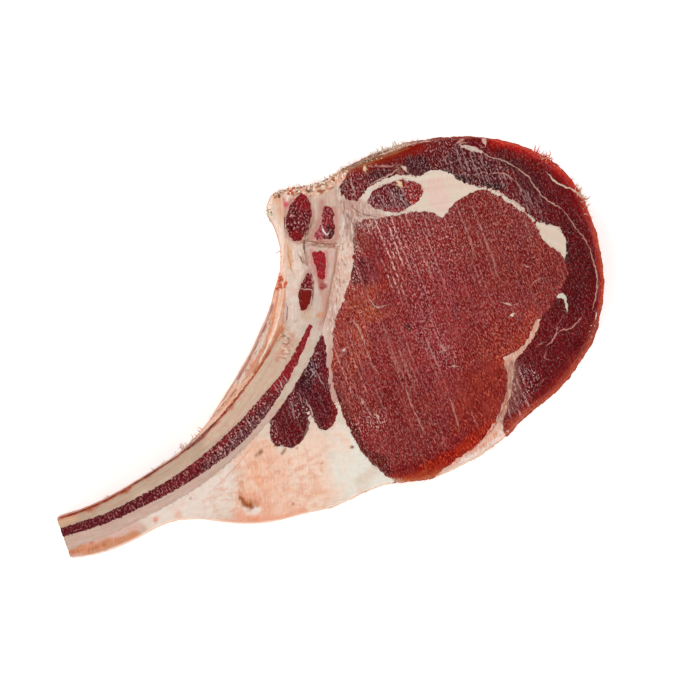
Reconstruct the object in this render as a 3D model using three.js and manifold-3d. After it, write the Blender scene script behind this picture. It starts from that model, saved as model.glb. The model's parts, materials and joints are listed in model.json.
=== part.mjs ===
// A raw bone-in rib steak lying on one of its two sawn faces, in millimetres, with +Z up.
//
// The saw went lengthwise through the rib and across the chine, so bone, marrow, muscle and fat all run
// from face to face as columns. The origin is under the middle of the steak's box, on the face it rests on.
// +X runs from the rib's sawn tip towards the cap of the meat and +Y towards the chine.
import * as THREE from "three";
import { mergeVertices } from "three/addons/utils/BufferGeometryUtils.js";
import Module from "manifold-3d";

const wasm = await Module();
wasm.setup();

// Driving dimensions
const THICKNESS = 28; // between the two sawn faces
const CLEARANCE = 0.3; // left between pieces that touch
const OVERRUN = 4; // how far a cutting column reaches past each face
const RIB_TIP = { x: -117.8, y: -83.4, turn: 0.328 }; // where the saw took off the rib's tip, and its slant
const RIM_STEP = 5; // between the points round the steak's edge
const SEAM_STEP = 3.6; // between the points along a seam inside it
const SMALL_STEP = 2.2; // and round the small cores and muscles
const SWELL_PITCH = 10; // grid of the upper face, which is never quite flat
const SWELL_HEIGHT = 0.5; // how far that face rises and falls
const BONE_PROUD = 0.6; // bone stands above the soft meat round it
const FAT_SUNK = -0.3; // and fat lies a little below

// The steak's edge is widest where it bellies out, and is drawn in above and below. Each height is a share
// of the thickness, `out` is how much of the upper face's inset is gone there, and `tuck` is drawn in again.
const EDGE_PROFILE = [
  { height: 0, out: 1, tuck: 1.5 },
  { height: 0.12, out: 1, tuck: 0.2 },
  { height: 0.35, out: 1, tuck: 0 },
  { height: 0.65, out: 0.7, tuck: 0 },
  { height: 0.9, out: 0.22, tuck: 0 },
  { height: 1, out: 0, tuck: 0 },
];

// The steak seen from above, as [x, y, how far the upper face's edge lies inside this outline].
const RIM = [
  // past the sawn tip of the rib, which is cut off square
  [-134, -80, 0.6],
  [-128, -94, 1],
  [-114.6, -92.8, 1.2],
  // strip of fat under the rib, then the fat apron
  [-105, -91.4, 1.2],
  [-96, -88.8, 1.4],
  [-86, -84.2, 1.4],
  [-77, -79.2, 1.3],
  [-69, -76.3, 1.2],
  [-58, -75.6, 1.2],
  [-48, -76.9, 1.3],
  [-37, -77.7, 1.4],
  [-25, -76.6, 1.3],
  [-12, -73.2, 1.2],
  [2, -69.6, 1.2],
  [15, -63.2, 1.2],
  [25, -59.9, 1],
  // lower edge of the eye
  [34, -59.2, 0.8],
  [44, -57.4, 1],
  [56, -52.2, 1.4],
  [68, -46, 1.5],
  [77, -39, 1.8],
  // cap of the meat
  [84, -31.4, 2.6],
  [94, -23.6, 3.2],
  [102.5, -16, 3.4],
  [109, -7.4, 3.4],
  [114, 1, 3.4],
  [117.6, 11, 3.4],
  [119.8, 21, 3.6],
  [120.3, 30, 3.8],
  [118.9, 40, 3.8],
  [117, 50, 3.6],
  [113.6, 59.6, 3.4],
  [109.4, 69.4, 3.2],
  [102.8, 77.8, 3.4],
  [95, 84, 3.4],
  [84.5, 89, 2.6],
  [73, 92.2, 1.8],
  [60, 93.1, 1.4],
  [47, 92.7, 1.4],
  [36, 91.2, 2],
  [25, 88.4, 2.4],
  [14, 83.6, 2.4],
  [4, 79, 2.4],
  [-3, 74.6, 2.2],
  // sawn chine
  [-9, 72.2, 2],
  [-18, 70.8, 2],
  [-26, 68.6, 1.6],
  // inner side of the rib cage, which slopes out towards the lower face
  [-29.4, 60.2, 3],
  [-25.6, 53, 3.2],
  [-23.2, 44, 2.4],
  [-23, 35, 2.6],
  [-25.2, 27, 4.6],
  [-27.6, 18, 6.4],
  [-31.2, 9, 8],
  [-35.4, 0, 8.4],
  [-40, -8.6, 8],
  [-45, -17, 6.8],
  [-50, -24.6, 5.4],
  [-55, -32.6, 4],
  [-60.4, -39, 2.2],
  [-67, -45.6, 0.8],
  [-77, -52.4, 0.6],
  [-88, -59.4, 0.6],
  [-99, -65.6, 0.6],
  [-110, -70.6, 0.6],
  [-121, -74, 0.6],
];

// Spongy core of the rib, as [x, y, half its width], from the sawn tip up to the rib's neck.
const RIB_CORE = [
  [-124, -82.6, 1.8],
  [-110, -78.4, 1.9],
  [-97, -73.8, 2],
  [-83, -67, 2.2],
  [-70, -59.9, 2.5],
  [-58, -52, 2.9],
  [-48, -44.2, 3.4],
  [-38.5, -35.4, 3.5],
  [-30, -25.4, 3.1],
  [-22.6, -15.6, 2.3],
  [-16.6, -5.6, 1.6],
  [-12.4, 3, 1.2],
  [-9.2, 10, 0.8],
];

// Compact bone of the rib: along its outer side to the joint with the chine, and back along its inner side.
const RIB_BONE = [
  [-128, -74],
  [-112, -68],
  [-99, -62],
  [-88, -56],
  [-77, -48.5],
  [-66, -42.4],
  [-58.4, -39.6],
  [-50, -31.8],
  [-42.4, -23],
  [-36, -14.8],
  [-31, -7.6],
  [-26.6, -0.6],
  [-21.6, 6],
  [-16, 11],
  [-10.4, 14.4],
  [-8.4, 20],
  [-7.8, 27],
  [-9, 34],
  [-10.6, 40],
  [-10.8, 44.8],
  [-4, 44.7],
  [2.4, 44.2],
  [1.8, 37],
  [0.4, 30],
  [-0.8, 22],
  [-2.6, 14],
  [-4.6, 7],
  [-7.2, 0.6],
  [-10.6, -6.6],
  [-14.6, -13.4],
  [-19, -20.4],
  [-24.4, -28.4],
  [-31.4, -36.6],
  [-39.6, -45],
  [-49, -53.6],
  [-60, -61.8],
  [-72, -68.9],
  [-84, -75.2],
  [-97, -81.4],
  [-108, -85.4],
  [-121, -89.6],
];

// Red spongy bone that shows in the rib's neck, in the chine and between them.
const NECK_CORE = [
  [-8.8, 41.6],
  [-3.6, 42],
  [-3.4, 35],
  [-3.9, 29.4],
  [-5.7, 31],
  [-7, 36.6],
];
const CHINE_CORE = [
  [-13.2, 67.6],
  [-10.4, 65],
  [-9.2, 59.4],
  [-10.2, 53.6],
  [-12.4, 48.8],
  [-15.2, 46.8],
  [-18.4, 48.8],
  [-20, 53.4],
  [-19.6, 59],
  [-17.6, 63.6],
];
const PROCESS_CORE = [
  [-3.2, 62.6],
  [-0.2, 61],
  [0.6, 54.4],
  [0.2, 48],
  [-3.8, 47.6],
  [-8, 48.2],
  [-6, 52],
  [-4.3, 56.4],
];
const JOINT_CORE = [
  [-10.2, 33.4],
  [-8.9, 29],
  [-8.9, 23.4],
  [-10.6, 18.4],
  [-12.5, 15.8],
  [-14, 19],
  [-14.4, 24.4],
  [-12.8, 29],
];
const CHINE_BONE = [
  [-24, 76],
  [-21.6, 66],
  [-21, 58],
  [-20.8, 50],
  [-19.6, 43],
  [-19.4, 35],
  [-19.8, 27],
  [-20.2, 19],
  [-20.6, 11],
  [-18, 6],
  [-8, 10],
  [-4, 20],
  [-4, 40],
  [2.6, 44],
  [3.4, 52],
  [3.4, 60],
  [2.2, 67],
  [-1.4, 78],
];

const INTERCOSTAL_MUSCLE = [
  [-5, 7.6],
  [-3, 3],
  [-2.4, -5],
  [-1.8, -13],
  [-0.8, -20],
  [1, -25],
  [2.2, -28.8],
  [1.2, -33],
  [-1.4, -36.2],
  [-5.2, -35.2],
  [-8, -31.6],
  [-9.8, -27.4],
  [-11.6, -24.4],
  [-11, -29],
  [-9.8, -33.2],
  [-11.4, -37.6],
  [-13.8, -41.4],
  [-17, -43.6],
  [-21, -43.2],
  [-25, -43],
  [-27.2, -39],
  [-27, -34.6],
  [-26, -28],
  [-20, -17],
  [-12, -4],
  [-7, 5],
];

// The two big muscles: the eye, and the cap that wraps round its outer side.
const EYE_MUSCLE = [
  [10.4, 54.6],
  [15, 56.4],
  [22, 56.8],
  [30, 58.6],
  [38, 59.8],
  [44.4, 59.2],
  [48.8, 56.4],
  [50.4, 60],
  [54, 63.8],
  [59, 67],
  [65, 69],
  [70.6, 68.2],
  [76.4, 64],
  [82.6, 59.8],
  [87.6, 56.2],
  [90.2, 52.4],
  [92.6, 47],
  [97, 43.6],
  [101.6, 39.8],
  [103.6, 34.6],
  [101.6, 28],
  [97.8, 22],
  [94.2, 16.6],
  [89.6, 13],
  [87, 6],
  [82.6, -0.2],
  [75, -4.8],
  [76.9, -10],
  [77, -16],
  [75.4, -23],
  [72.4, -30.6],
  [67.4, -38],
  [61, -44.4],
  [53, -49.8],
  [46, -55],
  [38, -60],
  [30, -60],
  [24, -55.8],
  [17.6, -50.2],
  [12, -43.6],
  [8.4, -36],
  [4.6, -27],
  [1.8, -20],
  [0.4, -12],
  [0.2, -4],
  [0.6, 4],
  [1.8, 12],
  [4, 19],
  [6.4, 25.6],
  [8.6, 31.6],
  [9.6, 38],
  [9.4, 46],
];
const SMALL_MUSCLE = [
  [16, 63.6],
  [20.4, 61.2],
  [26, 60.2],
  [31.4, 60.6],
  [36, 63.4],
  [39.4, 67.4],
  [39, 71.4],
  [35, 72.8],
  [30.6, 73.6],
  [25.6, 72.2],
  [20.6, 70.4],
  [17, 67.2],
];
// The cap's own outer layer is a thin muscle of its own.
const OUTER_CAP_MUSCLE = [
  [57, 100],
  [57, 88.8],
  [63.4, 87.2],
  [70, 84.6],
  [77, 81.4],
  [83.6, 77.8],
  [88.4, 72.4],
  [93.6, 65.6],
  [99.8, 62],
  [104.2, 57.4],
  [108.6, 50.6],
  [112.6, 44],
  [114.8, 37],
  [115.8, 29],
  [115.2, 20],
  [114.8, 13],
  [126, 11],
  [128, 30],
  [124, 60],
  [106, 90],
  [80, 101],
];
const CAP_MUSCLE = [
  [3.4, 70.2],
  [6.2, 66],
  [10.6, 64.4],
  [13.2, 67.4],
  [17, 71.2],
  [22.6, 73.8],
  [28, 76.6],
  [33.6, 75.8],
  [38.8, 75.6],
  [43.4, 78.6],
  [48, 78.2],
  [53.6, 75.4],
  [58.8, 72.2],
  [65, 70.8],
  [71.2, 70.2],
  [77.6, 65.8],
  [84, 61.4],
  [89.2, 56],
  [95, 54.2],
  [99.8, 52.6],
  [102.4, 48],
  [102.8, 42],
  [101, 34],
  [97, 26],
  [93, 18],
  [91, 11],
  [88.8, 4.8],
  [85, -0.8],
  [81.2, -4.6],
  [80.4, -12],
  [79.2, -19],
  [77.6, -26],
  [75.2, -33],
  [80, -44],
  [110, -20],
  [128, 6],
  [130, 40],
  [118, 78],
  [90, 100],
  [50, 102],
  [14, 94],
  [-4, 82],
  [7, 76.8],
];

// Fat under the right-hand end of the eye, and the fatty skin of the rib cage's inner side.
const LOWER_SEAM_FAT = [
  [93.6, 18],
  [86, 9],
  [79, -1],
  [72, -4.6],
  [74, -12],
  [73, -20],
  [70, -29],
  [60, -41],
  [42, -52],
  [41, -63],
  [62, -60],
  [82, -44],
  [84, -20],
  [86, -8],
  [90, 0],
  [93.4, 9],
];
const PLEURA_FAT = [
  [-22, 77],
  [-12, 60],
  [-12, 10],
  [-24, -8],
  [-40, -28],
  [-58, -44],
  [-67, -44],
  [-66, -34],
  [-48, -6],
  [-34, 20],
  [-34, 77],
];

/** The solid inside a closed geometry. */
function solidOf(geometry) {
  geometry.deleteAttribute("normal");
  geometry.deleteAttribute("uv");
  const merged = mergeVertices(geometry, 1e-4);
  return new wasm.Manifold(
    new wasm.Mesh({
      numProp: 3,
      vertProperties: merged.attributes.position.array,
      triVerts: new Uint32Array(merged.index.array),
    }),
  );
}

/** A solid as a geometry with flat faces. */
function geometryOf(solid) {
  const mesh = solid.getMesh();
  const geometry = new THREE.BufferGeometry()
    .setAttribute("position", new THREE.BufferAttribute(mesh.vertProperties, 3))
    .setIndex(new THREE.BufferAttribute(mesh.triVerts, 1))
    .toNonIndexed();
  geometry.computeVertexNormals();
  return geometry;
}

/** Evenly spaced points along a smooth curve. A station's third number is carried along as z. */
function spaced(stations, step, closed) {
  const curve = new THREE.CatmullRomCurve3(
    stations.map(([x, y, z = 0]) => new THREE.Vector3(x, y, z)),
    closed,
    "centripetal",
  );
  curve.arcLengthDivisions = 20 * stations.length;
  const points = curve.getSpacedPoints(Math.round(curve.getLength() / step));
  return closed ? points.slice(0, -1) : points;
}

/** A closed loop's points, each moved out along its normal in plan. */
function grown(loop, distanceAt) {
  const side = Math.sign(THREE.ShapeUtils.area(loop));
  return loop.map((p, i) => {
    const before = loop.at(i - 1);
    const after = loop[(i + 1) % loop.length];
    const out = new THREE.Vector2(after.y - before.y, before.x - after.x).normalize();
    return out.multiplyScalar(side * distanceAt(i)).add(p);
  });
}

/** The loop round a band that follows stations of [x, y, half its width]. */
function bandLoop(stations) {
  const line = spaced(stations, SEAM_STEP, false);
  const sides = [1, -1].map((side) =>
    line.map((p, i) => {
      const before = line[Math.max(i - 1, 0)];
      const after = line[Math.min(i + 1, line.length - 1)];
      const across = new THREE.Vector2(before.y - after.y, after.x - before.x).normalize();
      return across.multiplyScalar(side * p.z).add(p);
    }),
  );
  return [...sides[0], ...sides[1].reverse()];
}

/** The column that a loop cuts through the whole steak, grown by `extra`. */
function column(loop, extra = 0) {
  const shape = new THREE.Shape(grown(loop, () => extra));
  const depth = THICKNESS + 2 * OVERRUN;
  const geometry = new THREE.ExtrudeGeometry(shape, { depth, bevelEnabled: false });
  return solidOf(geometry.translate(0, 0, -OVERRUN));
}

/** The steak's edge: rings from the lower face to past the upper one, closed by a flat cap at each end. */
function edgeSolid() {
  const rim = spaced(RIM, RIM_STEP, true);
  const heights = EDGE_PROFILE.map(({ height }) => height * THICKNESS);
  const rings = EDGE_PROFILE.map(({ out, tuck }) => grown(rim, (i) => (out - 1) * rim[i].z - tuck));
  heights.push(THICKNESS + OVERRUN);
  rings.push(rings.at(-1));

  const count = rim.length;
  const positions = rings.flatMap((ring, level) => ring.flatMap((p) => [p.x, p.y, heights[level]]));
  const faces = [];
  for (let level = 0; level < rings.length - 1; level++) {
    for (let i = 0; i < count; i++) {
      const a = level * count + i;
      const b = level * count + ((i + 1) % count);
      faces.push(a, b, b + count, a, b + count, a + count);
    }
  }
  const last = (rings.length - 1) * count;
  for (const [a, b, c] of THREE.ShapeUtils.triangulateShape(rings[0], [])) faces.push(c, b, a);
  for (const [a, b, c] of THREE.ShapeUtils.triangulateShape(rings.at(-1), []))
    faces.push(last + a, last + b, last + c);
  const geometry = new THREE.BufferGeometry()
    .setAttribute("position", new THREE.Float32BufferAttribute(positions, 3))
    .setIndex(faces);
  return solidOf(geometry);
}

/** The saw's square cut across the rib's tip, as the block of air beyond it. */
function tipCut() {
  const reach = 80;
  const block = new THREE.BoxGeometry(reach, reach, reach).translate(-reach / 2, 0, 0);
  return solidOf(block.rotateZ(RIB_TIP.turn).translate(RIB_TIP.x, RIB_TIP.y, 0));
}

/** A slab from the lower face up to an upper face that rises and falls a little, `rise` above its mean. */
function faceSlab(rise) {
  const [width, depth] = [280, 220];
  const slab = new THREE.BoxGeometry(
    width,
    depth,
    THICKNESS,
    Math.round(width / SWELL_PITCH),
    Math.round(depth / SWELL_PITCH),
  ).translate(0, 0, THICKNESS / 2);
  const at = slab.attributes.position;
  for (let i = 0; i < at.count; i++) {
    if (at.getZ(i) < THICKNESS / 2) continue;
    const [x, y] = [at.getX(i), at.getY(i)];
    const swell = Math.sin(x / 13 + y / 31) * Math.cos(y / 17 - x / 47);
    at.setZ(i, THICKNESS + rise + SWELL_HEIGHT * swell);
  }
  return solidOf(slab);
}

const marrow = { color: "#7a2433", roughness: 0.6 };
const redMarrow = { color: "#8e2a30", roughness: 0.6 };
const bone = { color: "#d8c3b0", roughness: 0.55 };
const muscle = { color: "#8f3230", roughness: 0.45 };
const darkMuscle = { color: "#5f1c24", roughness: 0.4 };
const fat = { color: "#ead9c9", roughness: 0.5 };

// Each piece takes what is left of its column after the pieces before it. The fat takes all the rest.
const smooth = (outline) => spaced(outline, SEAM_STEP, true);
const small = (outline) => spaced(outline, SMALL_STEP, true);
const PIECES = [
  { name: "rib_marrow", loop: bandLoop(RIB_CORE), rise: BONE_PROUD, look: marrow },
  { name: "neck_marrow", loop: small(NECK_CORE), rise: BONE_PROUD, look: redMarrow },
  { name: "chine_marrow", loop: small(CHINE_CORE), rise: BONE_PROUD, look: marrow },
  { name: "process_marrow", loop: small(PROCESS_CORE), rise: BONE_PROUD, look: redMarrow },
  { name: "joint_marrow", loop: small(JOINT_CORE), rise: BONE_PROUD, look: marrow },
  { name: "rib_bone", loop: smooth(RIB_BONE), rise: BONE_PROUD, look: bone },
  { name: "chine_bone", loop: smooth(CHINE_BONE), rise: BONE_PROUD, look: bone },
  { name: "intercostal_muscle", loop: smooth(INTERCOSTAL_MUSCLE), rise: 0, look: darkMuscle },
  { name: "eye_muscle", loop: smooth(EYE_MUSCLE), rise: 0, look: muscle },
  { name: "small_muscle", loop: small(SMALL_MUSCLE), rise: 0, look: darkMuscle },
  { name: "outer_cap_muscle", loop: smooth(OUTER_CAP_MUSCLE), rise: 0, look: darkMuscle },
  { name: "cap_muscle", loop: smooth(CAP_MUSCLE), rise: 0, look: darkMuscle },
  { name: "lower_seam_fat", loop: smooth(LOWER_SEAM_FAT), rise: FAT_SUNK, look: fat },
  { name: "pleura_fat", loop: smooth(PLEURA_FAT), rise: FAT_SUNK, look: fat },
];

const steak = new THREE.Group();
const edge = edgeSolid().subtract(tipCut());
let taken = null;

function addPiece(name, solid, look) {
  const mesh = new THREE.Mesh(geometryOf(solid), new THREE.MeshStandardMaterial(look));
  mesh.name = name;
  steak.add(mesh);
}

for (const { name, loop, rise, look } of PIECES) {
  const whole = edge.intersect(faceSlab(rise)).intersect(column(loop));
  addPiece(name, taken ? whole.subtract(taken) : whole, look);
  const filled = column(loop, CLEARANCE);
  taken = taken ? taken.add(filled) : filled;
}
addPiece("seam_fat", edge.intersect(faceSlab(FAT_SUNK)).subtract(taken), fat);

// The middle of the steak's box comes over the origin.
const middle = new THREE.Box3().setFromObject(steak).getCenter(new THREE.Vector3());
for (const piece of steak.children) piece.position.set(-middle.x, -middle.y, 0);

export default steak;
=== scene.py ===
# %% [markdown]
# # A raw bone-in rib steak
#
# A band saw went through the rib and the chine of a forerib, so bone, marrow, meat and fat run through
# the steak from face to face. The frame already holds each of them as its own solid. This lesson gives
# every solid the skin of the real thing: it is remeshed, softened, roughened, painted in zones and given
# a moist material. Everything is in metres and in the frame's own place, so nothing has to be fitted.

import itertools
import json
import math
import random

import bpy
import numpy as np
from mathutils import Matrix, Vector
from mathutils.bvhtree import BVHTree
from mathutils.kdtree import KDTree

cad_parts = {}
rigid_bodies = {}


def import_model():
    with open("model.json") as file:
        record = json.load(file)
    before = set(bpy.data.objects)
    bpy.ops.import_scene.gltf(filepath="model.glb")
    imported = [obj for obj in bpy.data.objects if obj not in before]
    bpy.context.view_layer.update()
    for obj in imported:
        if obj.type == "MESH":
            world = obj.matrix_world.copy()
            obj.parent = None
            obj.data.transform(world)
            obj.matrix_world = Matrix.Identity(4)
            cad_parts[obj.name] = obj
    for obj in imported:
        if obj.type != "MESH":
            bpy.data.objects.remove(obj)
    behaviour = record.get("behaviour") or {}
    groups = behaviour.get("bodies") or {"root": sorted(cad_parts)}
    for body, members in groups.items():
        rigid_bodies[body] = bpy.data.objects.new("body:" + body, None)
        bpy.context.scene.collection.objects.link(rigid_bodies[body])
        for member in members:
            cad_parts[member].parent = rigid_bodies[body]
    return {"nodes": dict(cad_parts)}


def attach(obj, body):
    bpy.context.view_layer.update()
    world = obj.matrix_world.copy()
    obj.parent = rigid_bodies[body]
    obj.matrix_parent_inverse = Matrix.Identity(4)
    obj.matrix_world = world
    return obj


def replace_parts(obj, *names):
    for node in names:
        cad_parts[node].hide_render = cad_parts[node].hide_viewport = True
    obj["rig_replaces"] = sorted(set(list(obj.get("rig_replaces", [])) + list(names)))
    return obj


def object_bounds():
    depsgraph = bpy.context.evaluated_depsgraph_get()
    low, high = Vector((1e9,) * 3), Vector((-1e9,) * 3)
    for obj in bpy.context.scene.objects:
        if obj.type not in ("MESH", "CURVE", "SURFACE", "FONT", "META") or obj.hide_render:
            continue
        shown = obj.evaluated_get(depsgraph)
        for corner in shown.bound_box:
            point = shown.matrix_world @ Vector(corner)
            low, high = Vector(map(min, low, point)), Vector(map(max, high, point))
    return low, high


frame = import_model()
cad_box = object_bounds()
MM = 0.001
THICKNESS = cad_box[1].z
print("steak box in mm:", [round(v / MM, 1) for v in (*cad_box[0], *cad_box[1])])

# %% [markdown]
# The marks on the meat, such as veins and stains, are laid out on a sheet in millimetres. Its origin lies
# a little off the frame's, which stands under the middle of the box.

# %% Where the sheet of marks lies
SHEET_ORIGIN = np.array((0.35, -0.15))


def on_sheet(points):
    """Points of the sheet, in millimetres, as metres in the frame."""
    return (np.array(points, float) + SHEET_ORIGIN) * MM


# %% [markdown]
# ## Camera and light
# The steak is seen from straight above through a long lens, so its sides hardly show. Four softboxes
# stand round it, the strongest on the upper left. Nothing bright hangs overhead, because a wet surface
# would mirror it as a grey veil, while from the side only the tilted facets catch a glint.

# %% Camera
FIELD = 308 * MM
FOCAL_LENGTH = 300
SENSOR = 36
FOCUS_HEIGHT = 20 * MM
VIEW_CENTRE = on_sheet((7.92, -0.88))

camera_data = bpy.data.cameras.new("camera")
camera_data.lens = FOCAL_LENGTH
camera_data.sensor_width = SENSOR
camera = bpy.data.objects.new("camera", camera_data)
camera.location = (*VIEW_CENTRE, FOCUS_HEIGHT + FIELD * FOCAL_LENGTH / SENSOR)
bpy.context.scene.collection.objects.link(camera)
bpy.context.scene.camera = camera

# %% Light
SKY_STRENGTH = 0.2
LAMP_SIZE = 1.2
LAMPS = [  # place in metres and power in watts
    (Vector((-1.1, 1.0, 1.2)), 20.5),
    (Vector((1.3, 0.6, 1.1)), 11.2),
    (Vector((-0.7, -1.3, 1.1)), 11.2),
    (Vector((1.0, -1.1, 1.1)), 11.2),
]

world = bpy.data.worlds.new("studio")
world.use_nodes = True
world.node_tree.nodes["Background"].inputs["Color"].default_value = (1, 1, 1, 1)
world.node_tree.nodes["Background"].inputs["Strength"].default_value = SKY_STRENGTH
bpy.context.scene.world = world
bpy.context.scene.view_settings.view_transform = "Standard"

for place, power in LAMPS:
    lamp_data = bpy.data.lights.new("softbox", "AREA")
    lamp_data.shape = "SQUARE"
    lamp_data.size = LAMP_SIZE
    lamp_data.energy = power
    lamp = bpy.data.objects.new("softbox", lamp_data)
    lamp.location = place
    lamp.rotation_euler = (-place).to_track_quat("-Z", "Y").to_euler()
    lamp.visible_camera = False
    bpy.context.scene.collection.objects.link(lamp)

# %% [markdown]
# ## Colour and nodes
# Colours are written as sRGB hex values, the way a paint chart gives them, and turned to the linear
# values that shaders work in. One small function adds a shader node, and a second starts a material and
# sets what is the same all over its surface.


# %% Helpers for materials
def linear(hex_code):
    """An sRGB hex colour as linear red, green and blue, and an alpha of 1."""
    channels = [int(hex_code[i : i + 2], 16) / 255 for i in (1, 3, 5)]
    return [c / 12.92 if c <= 0.04045 else ((c + 0.055) / 1.055) ** 2.4 for c in channels] + [1.0]


def add_node(tree, kind, inputs=None, **settings):
    """Adds a shader node of a kind with its settings and inputs, and returns the output it is used for.

    An input is a value to set or a socket to link from, under its name or its place among those in use.
    """
    made = tree.nodes.new("ShaderNode" + kind)
    for name, value in settings.items():
        setattr(made, name, value)
    for key, value in (inputs or {}).items():
        in_use = [s for s in made.inputs if s.enabled]
        socket = in_use[key] if isinstance(key, int) else next(s for s in in_use if s.name == key)
        if isinstance(value, bpy.types.NodeSocket):
            tree.links.new(value, socket)
        else:
            socket.default_value = value
    return next(s for s in made.outputs if s.enabled)


def start_material(name, surface):
    """A new material whose Principled BSDF has the values in `surface`, and its node tree and shader."""
    material = bpy.data.materials.new(name)
    material.use_nodes = True
    tree = material.node_tree
    shader = tree.nodes["Principled BSDF"]
    for socket, value in surface.items():
        shader.inputs[socket].default_value = value
    return material, tree, shader


# %% [markdown]
# ## Floor
# The steak lies on a sheet of white acrylic. It glows a little, as on a light table, which keeps the
# shadows round the steak pale.

# %% Floor
FLOOR_SIZE = 6
FLOOR_DROP = 0.1 * MM
TABLE_GLOW = 0.38
floor_material, _, _ = start_material(
    "white_acrylic_light_table",
    {
        "Base Color": linear("#fdfdfc"),
        "Roughness": 0.9,
        "Specular IOR Level": 0.1,
        "Emission Color": linear("#ffffff"),
        "Emission Strength": TABLE_GLOW,
    },
)
bpy.ops.object.select_all(action="DESELECT")
bpy.ops.mesh.primitive_plane_add(size=FLOOR_SIZE, location=(0, 0, -FLOOR_DROP))
floor = bpy.context.object
floor.name = "floor"
floor.data.materials.append(floor_material)

# %% [markdown]
# ## Numbers that vary in space
# Nothing on meat is even. `ripple` gives smooth bumps of a chosen size at any points, from heights thrown
# on a grid and blended between, and always the same ones. `ripples` adds up layers of them. `beside`
# tells how far points lie from a line drawn on the sheet, and on which side. Patches of colour, veins and
# relief are all made from these.

# %% Uneven fields
CELL_PRIMES = (73856093, 19349663, 83492791)  # they scatter the numbers of a cell over all heights
SEED_PRIME = 2654435761
MIX_PRIME = 1274126177


def smooth(t, low=0.0):
    """From `low` to 1 with soft ends, as t goes from 0 to 1."""
    t = np.clip(t, 0, 1)
    return low + (1 - low) * (t * t * (3 - 2 * t))


def ripple(points, pitch, seed=0):
    """Smooth noise from -1 to 1, in lumps about one pitch apart. The pitch is one size or three."""
    scaled = points / np.array(pitch, float)
    cell = np.floor(scaled).astype(np.int64)
    part = scaled - cell
    part = part * part * (3 - 2 * part)
    total = np.zeros(len(points))
    for corner in itertools.product((0, 1), repeat=3):
        x, y, z = ((cell + corner) * CELL_PRIMES).T
        mixed = x ^ y ^ z ^ (seed * SEED_PRIME)
        mixed = ((mixed ^ (mixed >> 13)) * MIX_PRIME) & 0xFFFFFFFF
        height = ((mixed ^ (mixed >> 16)) & 0xFFFF) / 32767.5 - 1
        total += height * np.prod(np.where(corner, part, 1 - part), axis=1)
    return total


def ripples(points, layers, base=0):
    """Layers of ripples (depth, pitch in mm, seed) added to a base value."""
    heights = (depth * ripple(points, np.array(pitch) * MM, seed) for depth, pitch, seed in layers)
    return sum(heights, base)


# %% Lines on the sheet
FAR_AWAY = 1e3


def rounded(course, per_span=6):
    """A smooth line through the points of a course (a Catmull-Rom spline)."""
    p = np.array(course, float)
    if len(p) < 3:
        return p
    p = np.vstack((2 * p[0] - p[1], p, 2 * p[-1] - p[-2]))
    t = np.linspace(0, 1, per_span, endpoint=False)[:, None]
    spans = []
    for a, b, c, d in zip(p[:-3], p[1:-2], p[2:-1], p[3:]):
        curve = 2 * b + (c - a) * t + (2 * a - 5 * b + 4 * c - d) * t**2 + (3 * b - 3 * c + d - a) * t**3
        spans.append(curve / 2)
    return np.vstack((*spans, p[-2:-1]))


def beside(points, course):
    """How far along a course each point's nearest spot is, and how far to its left (+) or right (-)."""
    line = on_sheet(rounded(course))
    flat = points[:, :2]
    if len(line) == 1:
        return np.zeros(len(flat)), np.hypot(*(flat - line[0]).T)
    along = np.zeros(len(flat))
    across = np.full(len(flat), FAR_AWAY)
    done = 0.0
    for a, b in zip(line[:-1], line[1:]):
        step = b - a
        length = np.hypot(*step)
        to = flat - a
        t = np.clip(to @ step / length**2, 0, 1)
        away = np.hypot(*(to - t[:, None] * step).T)
        closer = away < np.abs(across)
        side = np.where(step[0] * to[:, 1] - step[1] * to[:, 0] < 0, -1, 1)
        across[closer] = (away * side)[closer]
        along[closer] = (done + t * length)[closer]
        done += length
    return along, across


# %% [markdown]
# ## A skin for each solid
# The frame's solids are plain columns with 0.3 mm between them. The real ones are soft and grown
# together. So a copy of each solid is grown into its seams until it overlaps its neighbours, remeshed
# into small even faces, and shifted sideways by one shared field of ripples. All pieces share the field,
# so every seam wanders and none opens; along the sawn rib it is weak. Bone stands proud of the meat and
# fat lies lower, so each face slopes to the common level at its edges, and dips below its neighbour past
# the seam.

# %% Helpers for modelling
ATTRIBUTE_KINDS = {1: ("FLOAT", "value"), 3: ("FLOAT_VECTOR", "vector"), 4: ("FLOAT_COLOR", "color")}


def select_only(piece):
    bpy.ops.object.select_all(action="DESELECT")
    piece.select_set(True)
    bpy.context.view_layer.objects.active = piece


def apply_modifier(piece, kind, **settings):
    """Adds a modifier with its settings and applies it."""
    select_only(piece)
    modifier = piece.modifiers.new(kind.lower(), kind)
    for name, value in settings.items():
        setattr(modifier, name, value)
    bpy.ops.object.modifier_apply(modifier=modifier.name)


def points_of(piece):
    flat = np.empty(len(piece.data.vertices) * 3)
    piece.data.vertices.foreach_get("co", flat)
    return flat.reshape(-1, 3)


def move_points(piece, points):
    piece.data.vertices.foreach_set("co", points.ravel())
    piece.data.update()


def normals_of(piece):
    flat = np.empty(len(piece.data.vertices) * 3)
    piece.data.vertex_normals.foreach_get("vector", flat)
    return flat.reshape(-1, 3)


def store(piece, name, values):
    """Keeps a number, a vector or a colour for each vertex as an attribute that the material reads."""
    kind, slot = ATTRIBUTE_KINDS[np.size(values) // len(values)]
    attribute = piece.data.attributes.new(name, kind, "POINT")
    attribute.data.foreach_set(slot, np.ravel(values))


def kept(piece, name):
    """The values of an attribute of a piece: a list of numbers, or a table for vectors and colours."""
    attribute = piece.data.attributes[name]
    known = ATTRIBUTE_KINDS.items()
    width, slot = next((width, slot) for width, (kind, slot) in known if kind == attribute.data_type)
    values = np.empty(len(attribute.data) * width)
    attribute.data.foreach_get(slot, values)
    return values if width == 1 else values.reshape(-1, width)


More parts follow.
